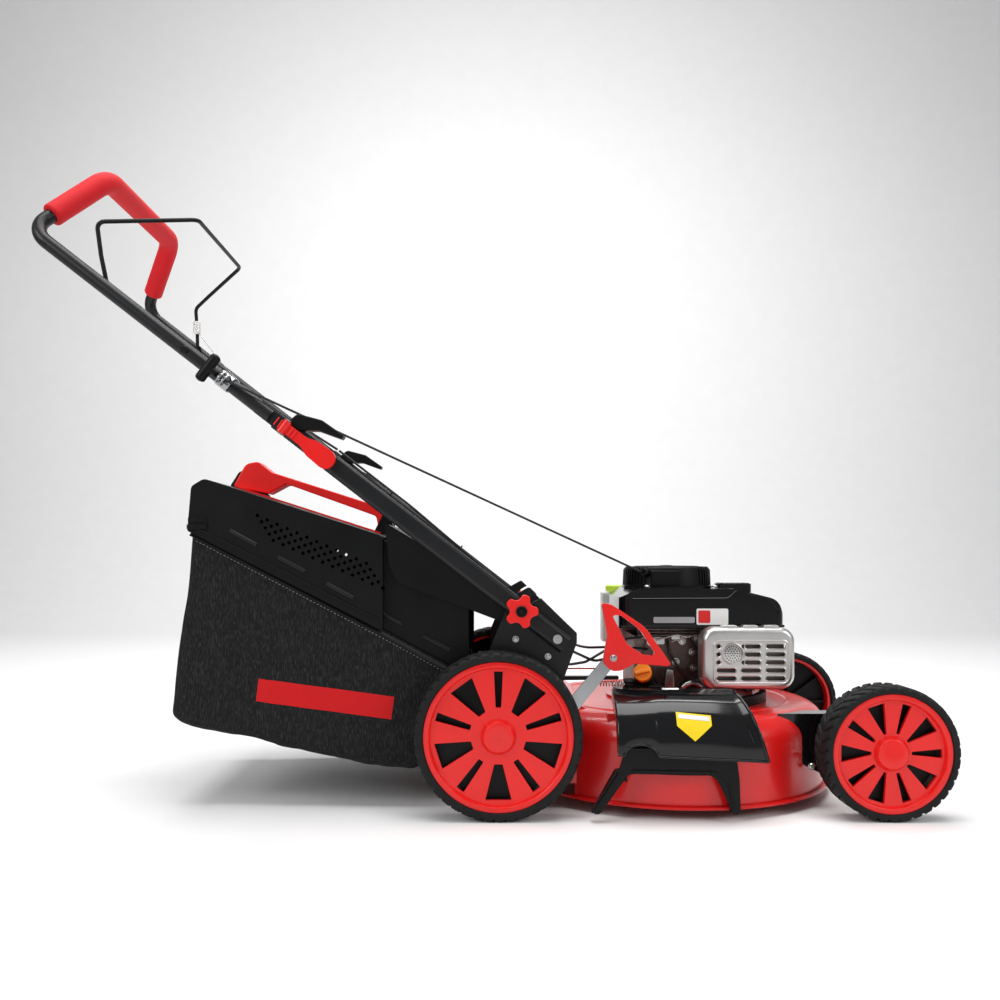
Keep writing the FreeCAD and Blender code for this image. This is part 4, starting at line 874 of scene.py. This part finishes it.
def crankcase_side():
    """What shows under the housing: cover, webs, oil filler neck, governor rods and hoses."""
    cover = [(284, 172), (350, 172), (356, 236), (332, 262), (262, 262), (252, 226)]
    part("case_cover", slab("cover", cover, -76, -68, [10] * 6), "cast_alloy", BRONZE, width=2)
    for number, (x, z) in enumerate(((340, 235), (311, 218), (342, 208), (268, 252), (322, 254))):
        screw("case_screw_%d" % number, (x, -76, z), NEAR, 6.5, "chassis")
    web = [(285, 158), (306, 158), (304, 206), (292, 208)]
    part("case_web", slab("web", web, -96, -74, [2, 2, 4, 4]), "bright_steel", width=1.5)
    block = [(256, 158), (281, 158), (281, 183), (256, 183)]
    part("coil_block", slab("block", block, -118, -96, [3] * 4), "black_plastic", width=2)
    way = Vector((-12, -44, 18)).normalized()
    foot = Vector((262, -66, 184))
    rings = [turned("ring", [(13, t), (15.2, t + 0.8), (15.2, t + 2.6), (13, t + 3.4)], foot, way, 40)
             for t in range(12, 44, 5)]
    part("filler_rings", welded("rings", rings), "black_plastic")
    dome = [(27, 150), (27, 158), (25, 163), (21, 166), (21, 171), (18, 174), (8, 176)]
    part("valve_dome", turned("dome", dome, (228, -96, 0), UP, 56), "bright_steel", CHROME)
    collar = [(13, 174), (14.6, 176), (13, 179), (14.6, 182), (13, 185), (14.6, 188), (12, 191)]
    part("valve_collar", turned("collar", collar, (232, -94, 0), UP, 40), "black_plastic")
    bar = [(108, 193), (206, 194), (208, 200), (110, 200)]
    part("stop_bar", slab("bar", bar, -128, -116, [2] * 4), "black_steel", width=1)
    coil = []
    for step in range(181):
        turn = 2 * math.pi * 9 * step / 180
        coil.append((174 + step * 0.24, -122 + 4.2 * math.cos(turn), 187 + 4.2 * math.sin(turn)))
    part("stop_spring", swept("spring", coil, 0.9, sides=8), "bright_steel")
    for number, (line, radius, slot) in enumerate((
            ([(352, -84, 163), (316, -92, 206), (300, -88, 232), (296, -80, 256)], 1.9, "cable_black"),
            ([(244, -96, 262), (280, -102, 259), (306, -100, 266), (330, -98, 262)], 1.1, "bright_steel"),
            ([(300, -96, 254), (326, -98, 262), (350, -96, 268), (360, -92, 262)], 1.1, "bright_steel"),
            ([(352, -82, 176), (338, -90, 186), (322, -92, 180), (316, -88, 166)], 4.6, "bright_steel"),
            ([(486, -60, 300), (494, -64, 270), (498, -70, 226), (490, -80, 190)], 2.6, "cable_black"))):
        path = evenly(rounded_path(line, [0, 14, 14, 0]), 4)
        part("engine_line_%d" % number, swept("line", path, radius, sides=12), slot)
    plates = []
    for x, z, wide, tall in ((268, 250, 20, 12), (300, 258, 14, 9), (338, 256, 16, 10)):
        plates.append(slab("plate", box_outline(x, x + wide, z, z + tall), -97, -94.5, [2.5] * 4))
    part("governor_plates", welded("plates", plates), "bright_steel")
    for number, (x, z) in enumerate(((277, 256), (345, 261))):
        screw("governor_screw_%d" % number, (x, -97, z), NEAR, 3.6, "chassis")
    fins = [slab("fin", box_outline(248, 372, z, z + 2.4), -74, -62) for z in range(262, 278, 5)]
    part("case_fins", welded("fins", fins), "cast_alloy")


def muffler_guard():
    """The guard's pressed detail: recessed field, rolled slot rims, an outlet whose holes are black discs of
    painted shade, and top tabs.
    """
    face = -150
    field = rounded_path([(x, face, z) for x, z in box_outline(359, 481, 191, 261)], [9] * 4, closed=True)
    rims = [swept("rim", evenly(field + field[:1], 6), 1.5, sides=10)]
    for row in range(5):
        z = 195.5 + row * 13.1
        for column in range(3):
            x = 364 + column * 40.3
            if column == 0 and row > 1:
                rims.append(turned("rim", [(3.6, 0.4), (4.4, 1.1), (5, 0.2), (4.4, -0.6), (3.6, -0.4)],
                                   (x + 3, face, z + 3.3), NEAR, 24, closed=True))
                continue
            if column == 1 and row in (2, 3, 4):
                x += 6
            wide = 31 if x == 364 + column * 40.3 else 25
            around = box_outline(x - 1, x + wide + 1, z - 1, z + 7.6)
            loop = rounded_path([(a, face, b) for a, b in around], [3.6] * 4, closed=True)
            rims.append(swept("rim", loop + loop[:1], 0.9, sides=8))
    rims.append(turned("rim", [(15.2, 0), (16.2, 1.6), (17.6, 1.2), (18.2, 0), (17, -0.8)],
                       (390, face, 239.5), NEAR, 56, closed=True))
    part("guard_rims", welded("rims", rims), "guard_silver")
    disc = turned("disc", [(15.3, -3), (15.3, -1.2), (13.5, -0.6)], (390, face, 239.5), NEAR, 48)
    part("guard_outlet", disc, "guard_silver")
    # The outlet's holes are not cut: small black discs sit in them as painted shade.
    shade_discs = []
    for ring, count in ((0, 1), (4, 6), (8, 12), (12, 18)):
        for number in range(count):
            angle = 2 * math.pi * number / count
            at = (390 + ring * math.cos(angle), face, 239.5 + ring * math.sin(angle))
            shade_discs.append(turned("dot", [(1.15, -0.9), (1.15, -0.35)], at, NEAR, 12))
    part("guard_hole_shade", welded("shade_discs", shade_discs), "black_plastic")
    tabs = [slab("tab", [(x, 279), (x + 28, 279), (x + 25, 285.5), (x + 3, 285.5)], -146, -128, [1, 1, 3, 3])
            for x in (372, 406, 440)]
    part("guard_tabs", welded("tabs", tabs), "guard_silver", width=1.5)


starter_drum()
housing_trim()
crankcase_side()
muffler_guard()


# ---- deck, flap, chute and small parts

def discharge_flap():
    """The moulded flap: a bulging shell, longer at the front, with a rolled lip and side wall."""
    section = curved([(-214, 191), (-222, 190), (-240, 184), (-262, 172), (-280, 153), (-291, 128),
                      (-293.5, 102)])
    columns, rows = 72, 36

    def place(share, down):
        y, z = point_at(section, down)
        end = 369 + 37 * down ** 1.15
        x = 184 + (end - 184) * share
        low = 104 - 10 * share
        notch = 17 * max(0.0, 1 - ((x - 219) / 25) ** 2) ** 0.5 if abs(x - 219) < 25 else 0.0
        z -= (102 - low - notch) * down ** 3
        dome = math.sin(math.pi * min(1.0, share * 1.05)) * math.sin(math.pi * down)
        z += 4.5 * dome
        y -= 2.0 * dome
        if share > 0.9:
            y -= 2.0 * ((share - 0.9) / 0.1) ** 2 * down
        return x, max(y, -295.5), z
    mesh = sheet_mesh("flap", columns, rows, place)
    piece = show("flap_shell", mesh, None, "gloss_black", angle=50)
    thicken = piece.modifiers.new("wall", "SOLIDIFY")
    thicken.thickness = 3 * MM
    thicken.offset = -1
    settle(piece)
    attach(piece, "side_flap")
    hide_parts("side_flap")
    front = [Vector(place(1, step / rows)) for step in range(rows + 1)]
    low = [Vector(place(step / columns, 1)) for step in range(columns + 1)]
    part("flap_front_bead", swept("bead", front[4:], 2.4, sides=12), "gloss_black", body="side_flap")
    part("flap_low_bead", swept("bead", low, 1.9, sides=12), "gloss_black", body="side_flap")
    cheek = [(-214, 186), (-240, 181), (-262, 168), (-281, 148), (-291, 124), (-291, 106), (-284, 106),
             (-262, 150), (-214, 172)]
    cheek = slab("cheek", cheek, 184, 187.5, to=lambda y, z, x: (x, y, z))
    part("flap_cheek", cheek, "gloss_black", width=0.8, body="side_flap")
    barrels = [turned("barrel", [(3.1, a), (5.4, a + 1), (5.4, b - 1), (3.1, b)], (0, -214, 186),
                      (1, 0, 0), 32) for a, b in ((190, 212), (226, 256), (294, 330), (342, 366))]
    part("flap_barrels", welded("barrels", barrels), "gloss_black", body="side_flap")
    raised = rounded_path([(232, -268, 168.5), (300, -268, 170.5), (352, -266, 166)], [0, 60, 0])
    part("flap_rib", swept("rib", evenly(raised, 6), 1.6, sides=10), "gloss_black", body="side_flap")
    inner = rounded_path([(368, -262, 168), (378, -284, 146), (386, -291, 122)], [0, 30, 0])
    part("flap_end_rib", swept("rib", evenly(inner, 6), 1.6, sides=10), "gloss_black", body="side_flap")

    def on_flap(x, z, out):
        """The shell's point at x and height z, lifted off it."""
        high, low = 0.0, 1.0
        for _ in range(24):
            down = (high + low) / 2
            share = (x - 184) / (185 + 37 * down ** 1.15)
            at = place(share, down)
            if at[2] > z:
                high = down
            else:
                low = down
        return x, at[1] - out * 0.8, z + out * 0.6

    def plate(across, down):
        x = 272 + 52 * across
        top = 165 - 5 * across
        return on_flap(x, top + (124 + 22 * abs(2 * across - 1) - top) * down, 0.7)

    def strip(across, down):
        return on_flap(275 + 46 * across, 162.5 - 4.5 * across - 6 * down, 1.1)
    part("flap_plate", sheet_mesh("plate", 24, 18, plate), "cap_amber", PLATE_YELLOW, body="side_flap")
    part("flap_plate_strip", sheet_mesh("strip", 20, 4, strip), "tank_white", PLATE_WHITE, body="side_flap")


def chute_details():
    """The chute's folded left leg, its hooked right leg and a stiffening rib."""
    left = [(146, 15), (160, 15), (201, 72), (192, 80), (182, 78)]
    part("chute_leg_fold", slab("fold", left, -281, -266), "black_plastic", width=0.8)
    right = [(354, 15), (361, 22), (366, 66), (360, 72), (350, 62)]
    part("chute_leg_hook", slab("hook", right, -281, -266), "black_plastic", width=0.8)
    rib = [(x, -284.5, z) for x, z in ((206, 79), (330, 77), (350, 62), (357, 22))]
    rib = rounded_path(rib, [0, 20, 14, 0])
    part("chute_rib", swept("rib", evenly(rib, 6), 1.5, sides=8), "black_plastic")


def deck_details():
    """Engine skirt, rolled deck rim, pressed rings, screws and the lever's boss."""
    for low, high, name in ((-78, -14, "near"), (14, 78, "far")):
        steps = 16
        arc = [math.radians(low + (high - low) * step / steps) for step in range(steps + 1)]
        outline = [(309 + 172 * math.cos(a), 172 * math.sin(a)) for a in arc]
        outline += [(309 + 160 * math.cos(a), 160 * math.sin(a)) for a in reversed(arc)]
        mesh = slab("skirt", outline, 148, 166, to=level)
        part("engine_skirt_" + name, mesh, "black_plastic", width=1.5)
    ring = turned("ring", [(201, 149.6), (206, 151.6), (211, 149.6)], ENGINE, UP, 120)
    part("deck_ring", ring, "deck_red")
    arc = [math.radians(-113 + 33 * step / 16) for step in range(17)]
    outline = [(309 + 268 * math.cos(a), 268 * math.sin(a)) for a in arc]
    outline += [(309 + 265.5 * math.cos(a), 265.5 * math.sin(a)) for a in reversed(arc)]
    part("mouth_sill", slab("sill", outline, 41, 68, to=level), "deck_red")
    lip = [(274.2, 16.6), (276, 18.4), (275.4, 21), (272, 22), (270, 20), (271, 17)]
    part("deck_rim", turned("rim", lip, ENGINE, UP, 160, closed=True), "deck_red")
    screw("lever_screw", (186.3, -220.6, 240), NEAR, 5.5, "rear_crank")
    for side, where in SIDES:
        for number, (x, z) in enumerate(((34, 270), (84, 243))):
            screw("bracket_screw_%s_%d" % (where, number), (x, side * 226.6, z), (0, side, 0), 5, "chassis")
        screw("front_screw_" + where, (500, side * 204, 68), (0, side, 0), 6, "chassis")


discharge_flap()
chute_details()
deck_details()


# ---- softened CAD shapes

for name, width in (("rear_bracket_near", 0.7), ("rear_bracket_far", 0.7), ("front_bracket_near", 0.8),
                    ("front_bracket_far", 0.8), ("side_chute", 0.9), ("height_lever_grip", 2.2),
                    ("rear_door", 3.0), ("cam_lever_near", 2.2), ("cam_lever_far", 2.2),
                    ("clamp_knob_near", 2.4), ("clamp_knob_far", 2.4), ("blower_housing", 3.0),
                    ("fuel_tank", 4.0), ("oil_cap", 1.2), ("fuel_cap", 1.0), ("crankcase", 1.5),
                    ("cylinder", 0.7), ("carburettor", 1.2), ("muffler", 1.5), ("air_cleaner", 1.5),
                    ("muffler_guard", 0.5)):
    soften(name, width, 3)

for name, item in NODES.items():
    item.data.materials.clear()
    item.data.materials.append(CHROME if name in ("rear_axle", "flap_spring") else FINISH[SLOT_OF[name]])


# ---- stage, lights and camera

def stage():
    sweep = [(-6.0, 0.0), (3.2, 0.0)]
    bend = [(3.2 + 1.2 * math.sin(a), 1.2 - 1.2 * math.cos(a)) for a in
            [math.radians(step * 6) for step in range(1, 16)]]
    line = sweep + bend + [(4.4, 7.0)]
    points = [(x * 1000, y * 1000, z * 1000) for y, z in line for x in (-9, 9)]
    faces = [(2 * n, 2 * n + 1, 2 * n + 3, 2 * n + 2) for n in range(len(line) - 1)]
    mesh = from_lists("studio_floor", points, faces)
    material = surface("studio_paper", (0.86, 0.86, 0.86), 0.8, vary=0.01)
    mesh.materials.append(material)
    mesh.shade_smooth()
    placed("studio_floor", mesh)


def lamp(name, at, aim, size, power, tall=None):
    light = bpy.data.lights.new(name, "AREA")
    light.energy = power
    light.size = size
    if tall:
        light.shape = "RECTANGLE"
        light.size_y = tall
    item = placed(name, light)
    item.location = at
    item.rotation_euler = (Vector(aim) - Vector(at)).to_track_quat("-Z", "Y").to_euler()


def studio():
    stage()
    world = bpy.data.worlds.new("studio")
    bpy.context.scene.world = world
    world.use_nodes = True
    back = world.node_tree.nodes["Background"]
    back.inputs["Color"].default_value = (1, 1, 1, 1)
    back.inputs["Strength"].default_value = 0.32
    lamp("top_softbox", (0.0, -0.3, 2.9), (0, 0, 0.2), 2.6, 70, 1.6)
    lamp("left_softbox", (-2.2, -2.0, 1.9), (0, 0, 0.4), 1.4, 34)
    lamp("right_softbox", (2.3, -1.8, 1.6), (0, 0, 0.4), 1.2, 24)
    lamp("backdrop_light", (0.0, 1.2, 3.4), (0, 3.8, 1.0), 3.0, 90, 1.0)
    bpy.context.scene.view_settings.view_transform = "Standard"


def camera():
    data = bpy.data.cameras.new("camera")
    data.sensor_width = 36.0
    data.lens = 33.44
    data.shift_x = 0.005
    data.shift_y = 0.059
    data.clip_start = 0.05
    item = placed("camera", data)
    item.location = (0.0019, -1.666, 0.394)
    item.rotation_euler = (math.radians(90), 0, 0)
    bpy.context.scene.camera = item


studio()
camera()
